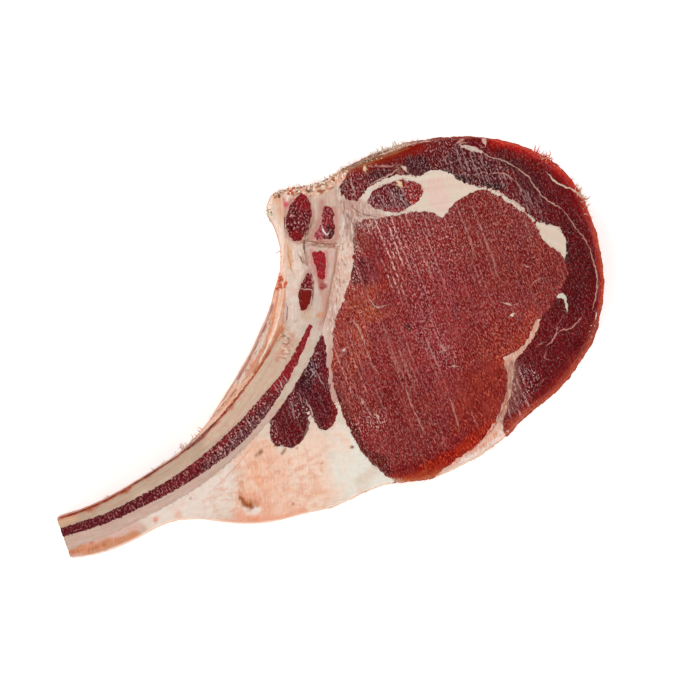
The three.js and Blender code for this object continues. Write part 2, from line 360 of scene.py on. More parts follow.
# %% [markdown]
# Search trees answer where the nearest wall of a solid is. One more holds only the upright faces that no
# other solid lies against, which are the outside of the steak.

# %% Walls and seams
SEAM_GAP = 0.6 * MM  # a face this close to another solid lies in a seam
UPRIGHT = 0.7  # an upright face's normal rises or falls less than this
ANY_SLOPE = 2.0


def tree_of(node, steepest=ANY_SLOPE):
    """A search tree of a solid's faces, or of its upright ones."""
    mesh = frame["nodes"][node].data
    faces = [list(f.vertices) for f in mesh.polygons if abs(f.normal.z) < steepest]
    return BVHTree.FromPolygons([v.co.copy() for v in mesh.vertices], faces)


TREES = {node: tree_of(node) for node in frame["nodes"]}


def tree_of_free_walls():
    """A search tree of the outside of the steak."""
    corners, faces = [], []
    for node, solid in frame["nodes"].items():
        others = [tree for name, tree in TREES.items() if name != node]
        for face in solid.data.polygons:
            upright = abs(face.normal.z) < UPRIGHT
            if upright and not any(tree.find_nearest(face.center, SEAM_GAP)[0] for tree in others):
                faces.append([len(corners) + i for i in range(len(face.vertices))])
                corners += [solid.data.vertices[v].co.copy() for v in face.vertices]
    return BVHTree.FromPolygons(corners, faces)


FREE_WALLS = tree_of_free_walls()

# %% Growing a copy into its seams
WELD = 0.01 * MM
VOXEL = 0.6 * MM
NEAR_OUTSIDE = 0.45 * MM
SEAM_GROWTH = 0.8 * MM
LEANING = 0.3  # the least level part of a wall's normal


def grow_into_seams(piece):
    """Moves the walls that are not on the outside outwards, level with the sheet."""
    points = points_of(piece)
    normals = normals_of(piece)
    level = np.hypot(normals[:, 0], normals[:, 1])
    for i in np.flatnonzero(level > LEANING):
        if FREE_WALLS.find_nearest(Vector(points[i]), NEAR_OUTSIDE)[0] is None:
            points[i, :2] += normals[i, :2] / level[i] * SEAM_GROWTH
    move_points(piece, points)


def fine_copy(node, name):
    """A copy of a solid in small even faces, grown into its seams and softened."""
    piece = bpy.data.objects.new(name, frame["nodes"][node].data.copy())
    bpy.context.scene.collection.objects.link(piece)
    piece.data.materials.clear()
    select_only(piece)
    bpy.ops.object.mode_set(mode="EDIT")
    bpy.ops.mesh.select_all(action="SELECT")
    bpy.ops.mesh.remove_doubles(threshold=WELD)
    bpy.ops.object.mode_set(mode="OBJECT")
    apply_modifier(piece, "REMESH", mode="VOXEL", voxel_size=VOXEL)
    grow_into_seams(piece)
    apply_modifier(piece, "SMOOTH", factor=0.5, iterations=2)
    return piece


# %% [markdown]
# Each vertex keeps three measures that the painting needs: how far inside its solid's walls it lies, how
# far from the steak's outline, and how much it belongs to the flank, the upright outside between the cut
# faces. The rib's sawn end is no flank.

# %% Measures that each vertex keeps
BULGE = 0.35 * THICKNESS  # the height where the outside bulges most
FLANK_FROM = 2 * MM  # below either cut face
FLANK_DEPTH = 0.9 * MM
FLANK_FADE = 0.5 * MM
TIP = on_sheet((-117.8, -83.4))
TIP_INWARD = np.array((0.95, 0.32))


def depth_inside(node, points):
    """How far points are from the walls of their solid, and less than 0 past them."""
    walls = tree_of(node, steepest=UPRIGHT)
    inside = np.empty(len(points))
    for i, point in enumerate(points):
        wall, outward, _, away = walls.find_nearest(Vector(point))
        past = away < 2 * SEAM_GROWTH and (Vector(point) - wall).dot(outward) > 0
        inside[i] = -away if past else away
    return inside


def from_outline(points):
    """How far points lie, in plan, from the outline that the steak shows from above."""
    return np.array([FREE_WALLS.find_nearest(Vector((x, y, BULGE)))[3] for x, y, _ in points])


def on_flank(points, outline):
    """1 on the upright outside, and 0 on the cut faces and at the rib's sawn end."""
    between_faces = smooth(np.minimum(points[:, 2], THICKNESS - points[:, 2]) / FLANK_FROM - 1)
    past_tip = smooth((points[:, :2] - TIP) @ TIP_INWARD / MM - 1)
    return between_faces * past_tip * smooth((FLANK_DEPTH - outline) / FLANK_FADE)


# %% The skin of one solid
EDGE_SLOPE = 1.6 * MM  # over which a proud face slopes to the common level
SEAM_MIDDLE = 0.15 * MM
SEAM_DIP = 0.3  # how far a face dips for each mm past its neighbour's wall
WANDERS = (  # depth and pitch of the sideways ripples
    (0.4 * MM, 9 * MM),
    (0.4 * MM, 3.2 * MM),
    (0.3 * MM, 1.5 * MM),
)
FIRM = 0.25  # how much of them is left along the sawn rib, which ends at FIRM_UNTIL
FIRM_UNTIL = -12 * MM
LOOSENS_OVER = 16 * MM


def skin(node, name, proud):
    """A fine copy of a solid with wandering edges. `proud` is how far its faces stand up in mm."""
    piece = fine_copy(node, name)
    points = points_of(piece)
    inside = depth_inside(node, points)
    height = 2 * points[:, 2] / THICKNESS - 1
    past_seam = np.maximum(-inside - 2 * SEAM_MIDDLE, 0)
    points[:, 2] -= proud * MM * np.exp(-np.maximum(inside, 0) / EDGE_SLOPE) * smooth(height)
    points[:, 2] -= SEAM_DIP * past_seam * np.sign(height) * smooth(2 * abs(height))
    loose = smooth((points[:, 0] - FIRM_UNTIL) / LOOSENS_OVER, FIRM)
    for axis in (0, 1):
        points[:, axis] += loose * sum(
            depth * ripple(points, pitch, seed=axis + 2 * layer)
            for layer, (depth, pitch) in enumerate(WANDERS)
        )
    move_points(piece, points)
    outline = from_outline(points)
    store(piece, "inside", inside)
    store(piece, "outline", outline)
    store(piece, "flank", on_flank(points, outline))
    bpy.ops.object.shade_smooth()
    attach(piece, "root")
    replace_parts(piece, node)
    print(name, "has", len(piece.data.polygons), "faces")
    return piece


# %% Relief
SEAM_RELIEF = 0.25  # how much relief is left at the seams
FULL_RELIEF = 2.5 * MM  # how far inside the walls it is whole


def roughen(piece, layers):
    """Relief along the normals, weak at the seams. A layer is (depth in mm, pitch in mm, seed)."""
    points = points_of(piece)
    normals = normals_of(piece)
    depth = ripples(points, layers) * smooth(kept(piece, "inside") / FULL_RELIEF, SEAM_RELIEF)
    points += normals * (depth * MM)[:, None]
    points[:, 2] = np.maximum(points[:, 2], 0)
    move_points(piece, points)


# %% [markdown]
# ## Painting in zones
# A steak's colours come in soft zones: purple where the meat was just cut, brown-orange where it has
# dried, pink blush in the fat. Each zone is a patch: a colour, its reach in millimetres, its strength and
# the course it follows. Patches are laid over the base colour in turn, with uneven borders, and kept as
# one colour for each vertex. The outside of the steak has dried in the air, so rims of colour run along
# it, and its flank is mottled in three colours.

# %% Paint
PATCH_EDGES = ((0.45, 7, 3), (0.35, 2.4, 4))  # ripples: depth, pitch in mm and seed
RIM_EDGES = ((0.3, 5, 9), (0.15, 1.6, 10))
FLANK_CLOUDS = ((1, (12, 12, 5), 13), (0.7, 3, 14))
FLANK_STRENGTH = 0.9
MIDDLE_FROM, MIDDLE_OVER = -0.8, 0.9  # levels of the clouds where the middle colour and the pale one begin
PALE_FROM, PALE_OVER = 0.4, 0.6


def fade(distance, reach):
    """1 up to half the reach in mm, and 0 from one and a half times it."""
    return smooth(1.5 - distance / (reach * MM))


def near_course(points, course, reach, uneven=1.0):
    """A weight of 1 along a course that fades out about its reach away, with an uneven border."""
    return fade(np.abs(beside(points, course)[1]) * uneven, reach)


def lay(colours, hex_code, share):
    """Lays a colour over the colours of the vertices."""
    colours += (linear(hex_code) - colours) * share[:, None]


def mottled(points, flank):
    """Clouds of a dark, a middle and a pale colour."""
    dark, middle, pale = (np.array(linear(hex_code)) for hex_code in flank)
    cloud = ripples(points, FLANK_CLOUDS)
    colours = dark + (middle - dark) * smooth((cloud - MIDDLE_FROM) / MIDDLE_OVER)[:, None]
    return colours + (pale - colours) * smooth((cloud - PALE_FROM) / PALE_OVER)[:, None]


def paint(piece, base, patches, rims=(), flank=()):
    """Lays patches (colour, reach in mm, strength, course) over the base colour, then rims on the outside.

    A rim is (colour, reach in mm from the outline, strength, spread in mm, course) and keeps to its course.
    The strongest rim at a vertex is kept as its weight `dried`. `flank` gives the three colours that the
    upright outside is mottled in.
    """
    points = points_of(piece)
    colours = np.tile(linear(base), (len(points), 1))
    uneven = ripples(points, PATCH_EDGES, base=1)
    for hex_code, reach, strength, course in patches:
        lay(colours, hex_code, strength * near_course(points, course, reach, uneven))
    edge = kept(piece, "outline") * ripples(points, RIM_EDGES, base=1)
    dried = np.zeros(len(points))
    for hex_code, reach, strength, spread, course in rims:
        share = strength * near_course(points, course, spread) * fade(edge, reach)
        lay(colours, hex_code, share)
        dried = np.maximum(dried, share)
    if flank:
        share = kept(piece, "flank")
        colours += (mottled(points, flank) - colours) * FLANK_STRENGTH * share[:, None]
        dried = np.maximum(dried, share)
    store(piece, "paint", colours)
    store(piece, "dried", dried)


# %% [markdown]
# Thin lines such as veins and fascia would be ragged as patches. So a thread keeps, for each vertex, its
# distance from the line, and the material then draws a line much finer than the mesh. Other things that a
# material should do more in one place than in another, such as pale flecks and painted glints, are kept as
# weights.

# %% Threads and weights
NO_THREAD = 9.0  # mm from a thread where there is none
THREAD_END = 4  # mm over which a thread thins to its tip
THREAD_TIP = 0.3
THREAD_REACH = 2.2
THREAD_FADE = 0.7
WEIGHT_EDGES = ((0.4, 6, 8),)


def thread(piece, threads):
    """Keeps the nearest thread (colour, half width in mm, course) and the signed distance from it."""
    points = points_of(piece)
    across = np.full(len(points), NO_THREAD)
    half = np.zeros(len(points))
    colours = np.zeros((len(points), 4))
    for hex_code, half_width, course in threads:
        along, away = beside(points, course)
        closer = np.abs(away / MM) < np.abs(across)
        ends = np.minimum(along, along.max() - along) / (THREAD_END * MM)
        taper = THREAD_TIP + (1 - THREAD_TIP) * np.sqrt(np.clip(ends, 0, 1))
        across[closer] = (away / MM)[closer]
        half[closer] = (half_width * taper)[closer]
        colours[closer] = linear(hex_code)
    store(piece, "thread_across", across)
    store(piece, "thread_half", half)
    on_face = 1 - kept(piece, "flank")
    store(piece, "thread_near", on_face * smooth((THREAD_REACH - np.abs(across)) / THREAD_FADE))
    store(piece, "thread_paint", colours)


def weigh(piece, name, rest, patches=(), on_flank=0.2):
    """Keeps a weight: `rest` everywhere, and more or less along patches (weight, reach in mm, course).

    Only the share `on_flank` of it is left on the upright outside.
    """
    points = points_of(piece)
    weights = np.full(len(points), float(rest))
    uneven = ripples(points, WEIGHT_EDGES, base=1)
    for weight, reach, course in patches:
        weights += (weight - weights) * near_course(points, course, reach, uneven)
    weights *= 1 - (1 - on_flank) * kept(piece, "flank")
    store(piece, name, weights)


def lay_course(piece, course):
    """Keeps each vertex's place along a course, across it and up, so that a pattern can follow it."""
    points = points_of(piece)
    store(piece, "course", np.stack((*beside(points, course), points[:, 2]), axis=1))


# %% [markdown]
# Every piece is dressed in the same order, so one function does it, and each piece below brings only what
# is its own: its relief, its base colour with patches, rims and flank, its threads, its weights and its
# material.


# %% Dressing one solid
def dress(
    node, name, material,
    relief, base, patches, threads, weights, rims=(), flank=(), course=(), proud=0.0,
):
    """Gives a solid its skin and its finish. Each weight has its value at rest and its patches."""
    piece = skin(node, name, proud)
    roughen(piece, relief)
    paint(piece, base, patches, rims, flank)
    thread(piece, threads)
    for weight, (rest, weight_patches) in weights.items():
        weigh(piece, weight, rest, weight_patches)
    if course:
        lay_course(piece, course)
    piece.data.materials.append(material)
    return piece


# %% [markdown]
# ## Patterns for materials
# Each pattern is a noise texture whose Mapping node is set in metres: how long its blotches are along the
# cut, across it and in depth. A blotch pattern stains a colour where it shows, or tints it from one level
# to another. The threads and the ragged borders are drawn last, over everything else.

# %% Blotches, stains and tints
CUT_ANGLE = math.radians(-69)  # the way the blade ran


def blotches(tree, place, size_mm, low, high, turn=0.0, detail=2.0, apart=0.0):
    """Blotches of a size in mm, from 0 to 1 between two noise levels. `apart` tells patterns apart."""
    scale = [size * MM for size in size_mm]
    inputs = {"Vector": place, "Location": (apart, apart, apart), "Rotation": (0, 0, turn), "Scale": scale}
    grid = add_node(tree, "Mapping", inputs, vector_type="TEXTURE")
    noise = add_node(tree, "TexNoise", {"Vector": grid, "Scale": 1.0, "Detail": detail})
    inputs = {"Value": noise, "From Min": low, "From Max": high}
    return add_node(tree, "MapRange", inputs, interpolation_type="SMOOTHSTEP")


def stained(tree, colour, pattern, strength, hex_code):
    """The colour stained where a pattern shows, as strongly as a number or a weight says, and the stain."""
    stain = add_node(tree, "Math", {0: pattern, 1: strength}, operation="MULTIPLY")
    over = add_node(tree, "Mix", {"Factor": stain, "A": colour, "B": linear(hex_code)}, data_type="RGBA")
    return over, stain


def tinted(tree, colour, pattern, low, high, strength=1.0):
    """The colour times a tint that goes from `low` to `high` with a pattern."""
    tint = add_node(tree, "Mix", {"Factor": pattern, "A": (*low, 1), "B": (*high, 1)}, data_type="RGBA")
    inputs = {"Factor": strength, "A": colour, "B": tint}
    return add_node(tree, "Mix", inputs, data_type="RGBA", blend_type="MULTIPLY")


# %% Threads and borders in a material
WAVE = 0.5  # mm that a thread swings from side to side
SOFTNESS = 0.22  # mm over which its edge fades
BORDER_SOFTNESS = 0.12


def drawn_threads(tree, place, colour, gap_mm, solid):
    """The colour with the piece's threads drawn over it, a little wavy and broken, and their lines."""
    across, half, near, ink = (
        add_node(tree, "Attribute", attribute_name="thread_" + measure)
        for measure in ("across", "half", "near", "paint")
    )
    wave = blotches(tree, place, (2, 2, 2), 0.3, 0.7, detail=3)
    moved = add_node(tree, "Math", {0: wave, 1: WAVE, 2: across}, operation="MULTIPLY_ADD")
    centred = add_node(tree, "Math", {0: moved, 1: WAVE / 2}, operation="SUBTRACT")
    away = add_node(tree, "Math", {0: centred}, operation="ABSOLUTE")
    room = add_node(tree, "Math", {0: half, 1: away}, operation="SUBTRACT")
    inputs = {"Value": room, "From Min": -SOFTNESS, "From Max": SOFTNESS}
    line = add_node(tree, "MapRange", inputs, interpolation_type="SMOOTHSTEP")
    whole = blotches(tree, place, (gap_mm, gap_mm, gap_mm), 0.36, 0.54, detail=3, apart=3.1)
    faded = add_node(tree, "MapRange", {"Value": whole, "To Min": solid})
    drawn = add_node(tree, "Math", {0: line, 1: faded}, operation="MULTIPLY")
    share = add_node(tree, "Math", {0: drawn, 1: near}, operation="MULTIPLY")
    over = add_node(tree, "Mix", {"Factor": share, "A": colour, "B": ink}, data_type="RGBA")
    return over, share


def over_border(tree, place, colour):
    """The colour with the neighbour's showing in ragged bits near the border they share."""
    side, level = (
        add_node(tree, "Attribute", attribute_name="border_" + measure).node.outputs["Fac"]
        for measure in ("side", "level")
    )
    other = add_node(tree, "Attribute", attribute_name="border_paint")
    rags = blotches(tree, place, (2.4, 1.8, 2), 0.3, 0.7, CUT_ANGLE, apart=9.1)
    above = add_node(tree, "Math", {0: rags, 1: level}, operation="SUBTRACT")
    turned = add_node(tree, "Math", {0: above, 1: side}, operation="MULTIPLY")
    share = add_node(tree, "MapRange", {"Value": turned, "From Max": BORDER_SOFTNESS})
    return add_node(tree, "Mix", {"Factor": share, "A": colour, "B": other}, data_type="RGBA")


def drawn_over(tree, place, colour, shader, gap_mm=4.0, solid=0.6):
    """Gives the shader the colour with borders and threads drawn over it, and returns their lines."""
    colour, threads = drawn_threads(tree, place, over_border(tree, place, colour), gap_mm, solid)
    tree.links.new(colour, shader.inputs["Base Color"])
    return threads


# %% [markdown]
# ## Raw meat
# Cut across the grain, meat shows the ends of its fibre bundles, about a millimetre wide, dark where the
# blade tore them and pale where their sheaths catch the light. A saw or knife draws streaks over them. They
# are laid in a pale glint colour, so they are saw marks and painted highlights at once. Small painted
# glints, which stand for wet highlights, are scattered where their weight is high. The surface is wet, so
# roughness is low and uneven.


# %% The blade's streaks
def blade_streaks(tree, place, row_mm):
    """Rows of pale dashes the way the blade ran, where the weight `streaks` is high."""
    inputs = {"Vector": place, "Rotation": (0, 0, CUT_ANGLE), "Scale": (30 * MM, 7 * MM, 60 * MM)}
    grid = add_node(tree, "Mapping", inputs, vector_type="TEXTURE")
    inputs = {"Vector": grid, "Scale": 1.0, "Distortion": 4.4, "Detail": 3.0, "Detail Scale": 1.1}
    comb = add_node(tree, "TexWave", inputs, bands_direction="Y")
    inputs = {"Value": comb, "From Min": 0.5, "From Max": 0.92}
    rows = add_node(tree, "MapRange", inputs, interpolation_type="SMOOTHSTEP")
    patchy = blotches(tree, place, (row_mm, 3.4, 9), 0.38, 0.6, CUT_ANGLE, detail=3, apart=2.7)
    lines = add_node(tree, "Math", {0: rows, 1: patchy}, operation="MULTIPLY")
    dots = blotches(tree, place, (1.3, 0.7, 3), 0.42, 0.58, CUT_ANGLE, detail=2, apart=4.4)
    weight = add_node(tree, "Attribute", attribute_name="streaks")
    dashes = add_node(tree, "Math", {0: lines, 1: dots}, operation="MULTIPLY")
    return add_node(tree, "Math", {0: dashes, 1: weight}, operation="MULTIPLY")


# %% The meat's material
MIDDLE_GRAIN = 0.3  # the level that the contrast of the bundles turns about
DRIED_CALM = 0.75  # how much of the grain is gone where the meat has dried
DRIED_MATT = 0.4  # how much rougher it is there


def raw_meat(name, torn, sheath, glint, bundle_mm, row_mm, thread_solid, roughness):
    """Raw meat cut across the grain, smoother where it has dried.

    `torn` and `sheath` are what dull and pale bundle ends multiply its colour by. A bundle's size is given
    across the cut, along it and in depth.
    """
    material, tree, shader = start_material(name, {"Specular IOR Level": 0.06})
    place = add_node(tree, "TexCoord").node.outputs["Object"]
    painted = add_node(tree, "Attribute", attribute_name="paint")
    wide, long, deep = bundle_mm

    drift = blotches(tree, place, (9, 6, 12), 0.35, 0.65, CUT_ANGLE, detail=3, apart=1.9)
    colour = tinted(tree, painted, drift, (0.9, 0.82, 0.96), (1.08, 1.12, 1.02))
    lumps = blotches(tree, place, (2.6, 2.0, 9), 0.36, 0.64, CUT_ANGLE, detail=1, apart=5.2)
    colour = tinted(tree, colour, lumps, (0.9, 0.8, 0.8), (1.1, 1.22, 1.2))
    bundles = blotches(tree, place, (long, wide, deep), 0.46, 0.7, CUT_ANGLE, detail=2.6)
    coarse = blotches(tree, place, (12, 5, 12), 0.32, 0.62, CUT_ANGLE, detail=3, apart=8.3)
    contrast = add_node(tree, "MapRange", {"Value": coarse, "To Min": 0.45, "To Max": 1.15})
    grain = add_node(tree, "Math", {0: bundles, 1: MIDDLE_GRAIN}, operation="SUBTRACT")
    grain = add_node(tree, "Math", {0: grain, 1: contrast, 2: MIDDLE_GRAIN}, operation="MULTIPLY_ADD")
    colour = tinted(tree, colour, grain, torn, sheath)

    dried = add_node(tree, "Attribute", attribute_name="dried").node.outputs["Fac"]
    calm = add_node(tree, "Math", {0: dried, 1: DRIED_CALM}, operation="MULTIPLY")
    colour = add_node(tree, "Mix", {"Factor": calm, "A": colour, "B": painted}, data_type="RGBA")
    # painted glints: small pale specks that stand for wet highlights, where their weight is high
    specks = blotches(tree, place, (1.1, 0.6, 3), 0.54, 0.64, CUT_ANGLE, detail=3, apart=7.3)
    weight = add_node(tree, "Attribute", attribute_name="flecks")
    flecks = add_node(tree, "Math", {0: specks, 1: weight}, operation="MULTIPLY")
    streaks = blade_streaks(tree, place, row_mm)
    # the saw streaks and the painted glints together, both laid in the glint colour as painted highlight
    pale = add_node(tree, "Math", {0: streaks, 1: flecks}, operation="MAXIMUM")
    colour = add_node(tree, "Mix", {"Factor": pale, "A": colour, "B": linear(glint)}, data_type="RGBA")
    threads = drawn_over(tree, place, colour, shader, gap_mm=1.2, solid=thread_solid)

    inputs = {"Value": bundles, "To Min": roughness + 0.12, "To Max": roughness - 0.08}
    shine = add_node(tree, "MapRange", inputs)
    matt = add_node(tree, "Math", {0: dried, 1: DRIED_MATT, 2: shine}, operation="MULTIPLY_ADD")
    tree.links.new(matt, shader.inputs["Roughness"])
    raised = add_node(tree, "Math", {0: bundles, 1: pale}, operation="ADD")
    raised = add_node(tree, "Math", {0: raised, 1: threads}, operation="ADD")
    bump = add_node(tree, "Bump", {"Height": raised, "Strength": 0.8, "Distance": 0.25 * MM})
    tree.links.new(bump, shader.inputs["Normal"])
    return material


eye_meat = raw_meat(
    "raw_beef_cut_across",
    torn=(0.62, 0.15, 0.17),
    sheath=(2.1, 4.8, 4.5),
    glint="#ecb2aa",
    bundle_mm=(0.45, 1.4, 9),
    row_mm=30,
    thread_solid=0.25,
    roughness=0.42,
)
dark_meat = raw_meat(
    "raw_beef_dark_and_wet",
    torn=(0.56, 0.1, 0.16),
    sheath=(2.2, 3.4, 2.9),
    glint="#dcb2b0",
    bundle_mm=(0.5, 0.9, 9),
    row_mm=9,
    thread_solid=0.75,
    roughness=0.38,
)

# %% [markdown]
# ## The eye
# The big oval muscle along the back. Its cut face is brick red, purple in the middle where it was cut
# last, and dries to orange-red at its lower edge. The saw's streaks show most in its upper left part.

# %% The eye of meat
EYE_PATCHES = [  # colour, reach in mm, strength, course
    ("#8e262c", 10, 0.6, [(48, 28), (42, 10), (50, -4)]),
    ("#7c1d1b", 13, 0.65, [(26, -26), (36, -36), (34, -48)]),
    ("#a84030", 8, 0.6, [(6, -4), (10, 8), (14, 26)]),
    ("#74202c", 3.4, 0.6, [(16, 37), (17.4, 31)]),
    ("#8a3a30", 3, 0.5, [(13, 49), (16, 45)]),
    ("#a03c24", 4, 0.6, [(12, 19), (18, 15)]),
    ("#8e3228", 8, 0.5, [(8, -14), (10, -24)]),
    ("#80241e", 15, 0.6, [(92, 34), (80, 40), (66, 58)]),
    ("#90271c", 13, 0.75, [(76, 2), (68, -8), (66, -26)]),
    ("#a4301c", 3.4, 0.6, [(88, 14), (80, 0), (74, -6)]),
    ("#a8240f", 2.6, 0.8, [(70, -34), (67, -37), (60, -42), (50, -49), (40, -55)]),
    ("#5c130d", 2.6, 0.8, [(2, -20), (6, -31), (13, -44), (24, -55)]),
    ("#7a3a3a", 2.0, 0.4, [(18, 56), (26, 57), (38, 59), (46, 57)]),
    ("#94605a", 2.6, 0.6, [(12, 55), (17, 54)]),
    ("#8a5c4c", 1.3, 0.7, [(10.4, 56), (9.6, 50), (9.4, 45)]),
    ("#46141a", 1.2, 0.8, [(8.8, 37), (9.4, 33), (10.8, 29)]),
    ("#5c141c", 1.4, 0.7, [(13, 38), (13.4, 33), (14.4, 29)]),
    ("#400c0c", 0.8, 0.9, [(33, 10), (33.6, 9)]),
]
EYE_RIMS = [  # colour, reach from the outline in mm, strength, spread in mm, course
    ("#9c2a1a", 4.0, 0.8, 7, [(60, -46), (50, -52), (40, -57), (30, -58)]),
    ("#ae4429", 3.0, 0.8, 7, [(52, -52), (40, -58), (28, -58)]),
    ("#bd6242", 1.6, 0.8, 6, [(44, -57), (35, -59), (26, -58)]),
    ("#cfa084", 2.2, 0.8, 3, [(28, -59), (26, -58)]),
]
EYE_FLANK = ("#96321c", "#a84c30", "#c08464")
EYE_THREADS = [  # colour, half width in mm, course
    ("#ecd0c2", 1.1, [(78.6, 14.2), (79.6, 14.8)]),
    ("#d9a89c", 0.65, [(75.4, 19.8), (78.4, 19)]),
    ("#d9a89c", 0.65, [(80.6, 19.2), (81.4, 19.6)]),
    ("#c99388", 0.65, [(84.4, 36.2), (86, 35.6)]),
    ("#dcae9e", 0.9, [(52.6, -8), (54.6, -8)]),
    ("#d09a8c", 0.7, [(48, 1), (49.6, -1.4)]),
    ("#dcae9e", 0.8, [(13, -22.6), (13.8, -24.2)]),
    ("#c08478", 0.26, [(61, -28), (63.6, -34)]),
    ("#b4766a", 0.24, [(26, -2), (29, -11), (31, -17)]),
    ("#b4766a", 0.22, [(5, -3), (8, -10), (11, -19)]),
    ("#e6cdc2", 0.8, [(4.6, -1.6), (5.6, -0.4)]),
    ("#e0b8aa", 1.1, [(19.8, -29.6), (20.4, -31.2)]),
    ("#c99388", 0.65, [(12.4, 15.4), (13.4, 15.8)]),
    ("#c48c80", 0.34, [(41.5, 39), (42.6, 35), (43.4, 32)]),
    ("#c4a093", 0.29, [(16, 22.5), (18.4, 18.8), (20.6, 17.8), (24, 19)]),
    ("#c4a093", 0.29, [(9, 12), (12.2, 7.6), (14.6, 1)]),
    ("#bd8478", 0.26, [(14.6, 1), (17.2, -6.6), (20.4, -11)]),
    ("#b4766a", 0.24, [(22, 12), (24.6, 4), (27.6, -4), (30, -11)]),
    ("#c08a80", 0.26, [(41, 5), (43.8, -2), (46.4, -7.6)]),
    ("#b4766a", 0.24, [(31, -1), (33, -9), (36.4, -16)]),
    ("#c48c80", 0.3, [(32.6, -18), (34.6, -24), (36.8, -29.4), (40.6, -37.6)]),
    ("#c08478", 0.28, [(51.6, -22), (54, -29), (56, -36.6)]),
    ("#b4766a", 0.24, [(60, 50), (62, 41), (61, 36)]),
    ("#b4766a", 0.24, [(70, 44), (72, 33), (76, 28)]),
    ("#b57f72", 0.18, [(86, 26), (90, 30), (94, 31)]),
    ("#9e4c3c", 0.22, [(39, -44), (41, -52), (42, -57)]),
    ("#b57f72", 0.22, [(84, 57.5), (86.4, 51), (87.4, 46)]),
]
EYE_STREAKS = [  # weight, reach in mm, course
    (1.0, 8, [(21, 54), (26, 42), (31, 30)]),
    (0.5, 7, [(36, 55), (40, 42), (44, 30)]),
    (0.2, 5, [(15, 46), (16, 30)]),
    (0.4, 6, [(57, 62), (62, 48), (66, 34)]),
    (0.5, 6, [(43, 12), (50, -6)]),
    (0.5, 5, [(4, 4), (7, -8), (11, -18), (16, -30)]),
    (0.4, 5, [(22, 16), (28, 0), (34, -12)]),
    (0.05, 14, [(72, -4), (62, -30)]),
    (0.0, 7, [(60, -44), (34, -56)]),
]
# painted glints on the eye: where small wet highlights are painted, as weight, reach in mm and course
EYE_PAINTED_GLINTS = [
    (0.75, 10, [(24, 52), (44, 44), (58, 52)]),
    (0.4, 9, [(62, 52), (66, 60), (84, 50)]),
    (0.1, 4, [(17, 46), (20, 36), (24, 28)]),
    (0.6, 6, [(38, 24), (42, 8), (48, -2)]),
    (1.0, 3, [(9, 28), (10, 44)]),
    (1.0, 3.4, [(10, 56), (18, 53)]),
    (0.9, 4, [(12, -34), (20, -33)]),
    (0.05, 10, [(60, -40), (70, -16)]),
    (0.0, 6, [(60, -46), (34, -57)]),
]

eye = dress(
    "eye_muscle", "eye_of_meat", eye_meat,
    relief=((0.10, 1.5, 11), (0.22, 5, 12), (0.5, 24, 13)), base="#8b2525", patches=EYE_PATCHES,
    rims=EYE_RIMS, flank=EYE_FLANK, threads=EYE_THREADS,
    weights={"streaks": (0.16, EYE_STREAKS), "flecks": (0.3, EYE_PAINTED_GLINTS)},
)

# %% [markdown]
# ## The cap
# The cap wraps round the eye's outer side. It is darker and wetter than the eye, parted by thin white
# fascia, and its outside has dried to orange-red. The outermost layer is a thin muscle of its own, and
# both are painted from one list, so the colours run on across the seam.

# %% The cap and its outer layer
CAP_RIGHT = [(113, 62), (117, 50), (119, 38), (120.5, 26), (119, 14)]
CAP_LOWER_RIGHT = [(111, -4), (102, -14), (92, -22), (82, -31)]
CAP_UPPER_LEFT = [(12, 80), (22, 84), (30, 87), (38, 89.5)]
CAP_PATCHES = [
    ("#4e1f23", 7, 0.65, [(50, 84), (60, 80), (68, 77)]),
    ("#401e22", 4.5, 0.7, [(36, 82), (41, 79)]),
    ("#401a20", 3.5, 0.6, [(76, 84), (84, 77), (90, 68)]),
    ("#5e1219", 7, 0.4, [(86, 72), (92, 62)]),
    ("#52060d", 7, 0.6, [(104, 52), (108, 36), (104, 22)]),
    ("#680b11", 6, 0.6, [(96, 10), (98, -8)]),
    ("#701214", 6, 0.6, [(24, 78), (12, 70)]),
    ("#600b0a", 4, 0.7, [(18, 78), (26, 80)]),
    ("#8c1408", 2.8, 0.85, [(12, 79.6), (17, 81.6), (24, 84.4), (32, 87), (38, 88)]),
    ("#420c14", 2.6, 0.7, [(18, 76), (24, 77)]),
    ("#4c1c24", 3.0, 0.6, [(34, 80), (40, 81)]),
    ("#6c1014", 4.0, 0.8, [(45, 84), (50, 88)]),
    ("#7a2c36", 2.6, 0.5, [(9, 76), (14, 74)]),
    ("#94605a", 1.3, 0.7, [(28.6, 80), (30, 76.6)]),
    ("#741008", 3.0, 0.7, [(72, 89), (80, 87), (90, 82)]),
    ("#8a544c", 2.6, 0.75, [(80, -8), (80, -18), (79, -26)]),
    ("#2e2022", 1.0, 0.8, [(50, 77.4), (56, 74.8), (61, 72.8)]),
    ("#362624", 0.9, 0.85, [(66, 71.6), (74, 70.8)]),
    ("#352226", 1.0, 0.7, [(92, 55), (98, 53.6)]),
    ("#3c2a26", 0.7, 0.7, [(103, 48), (103.4, 38)]),
]
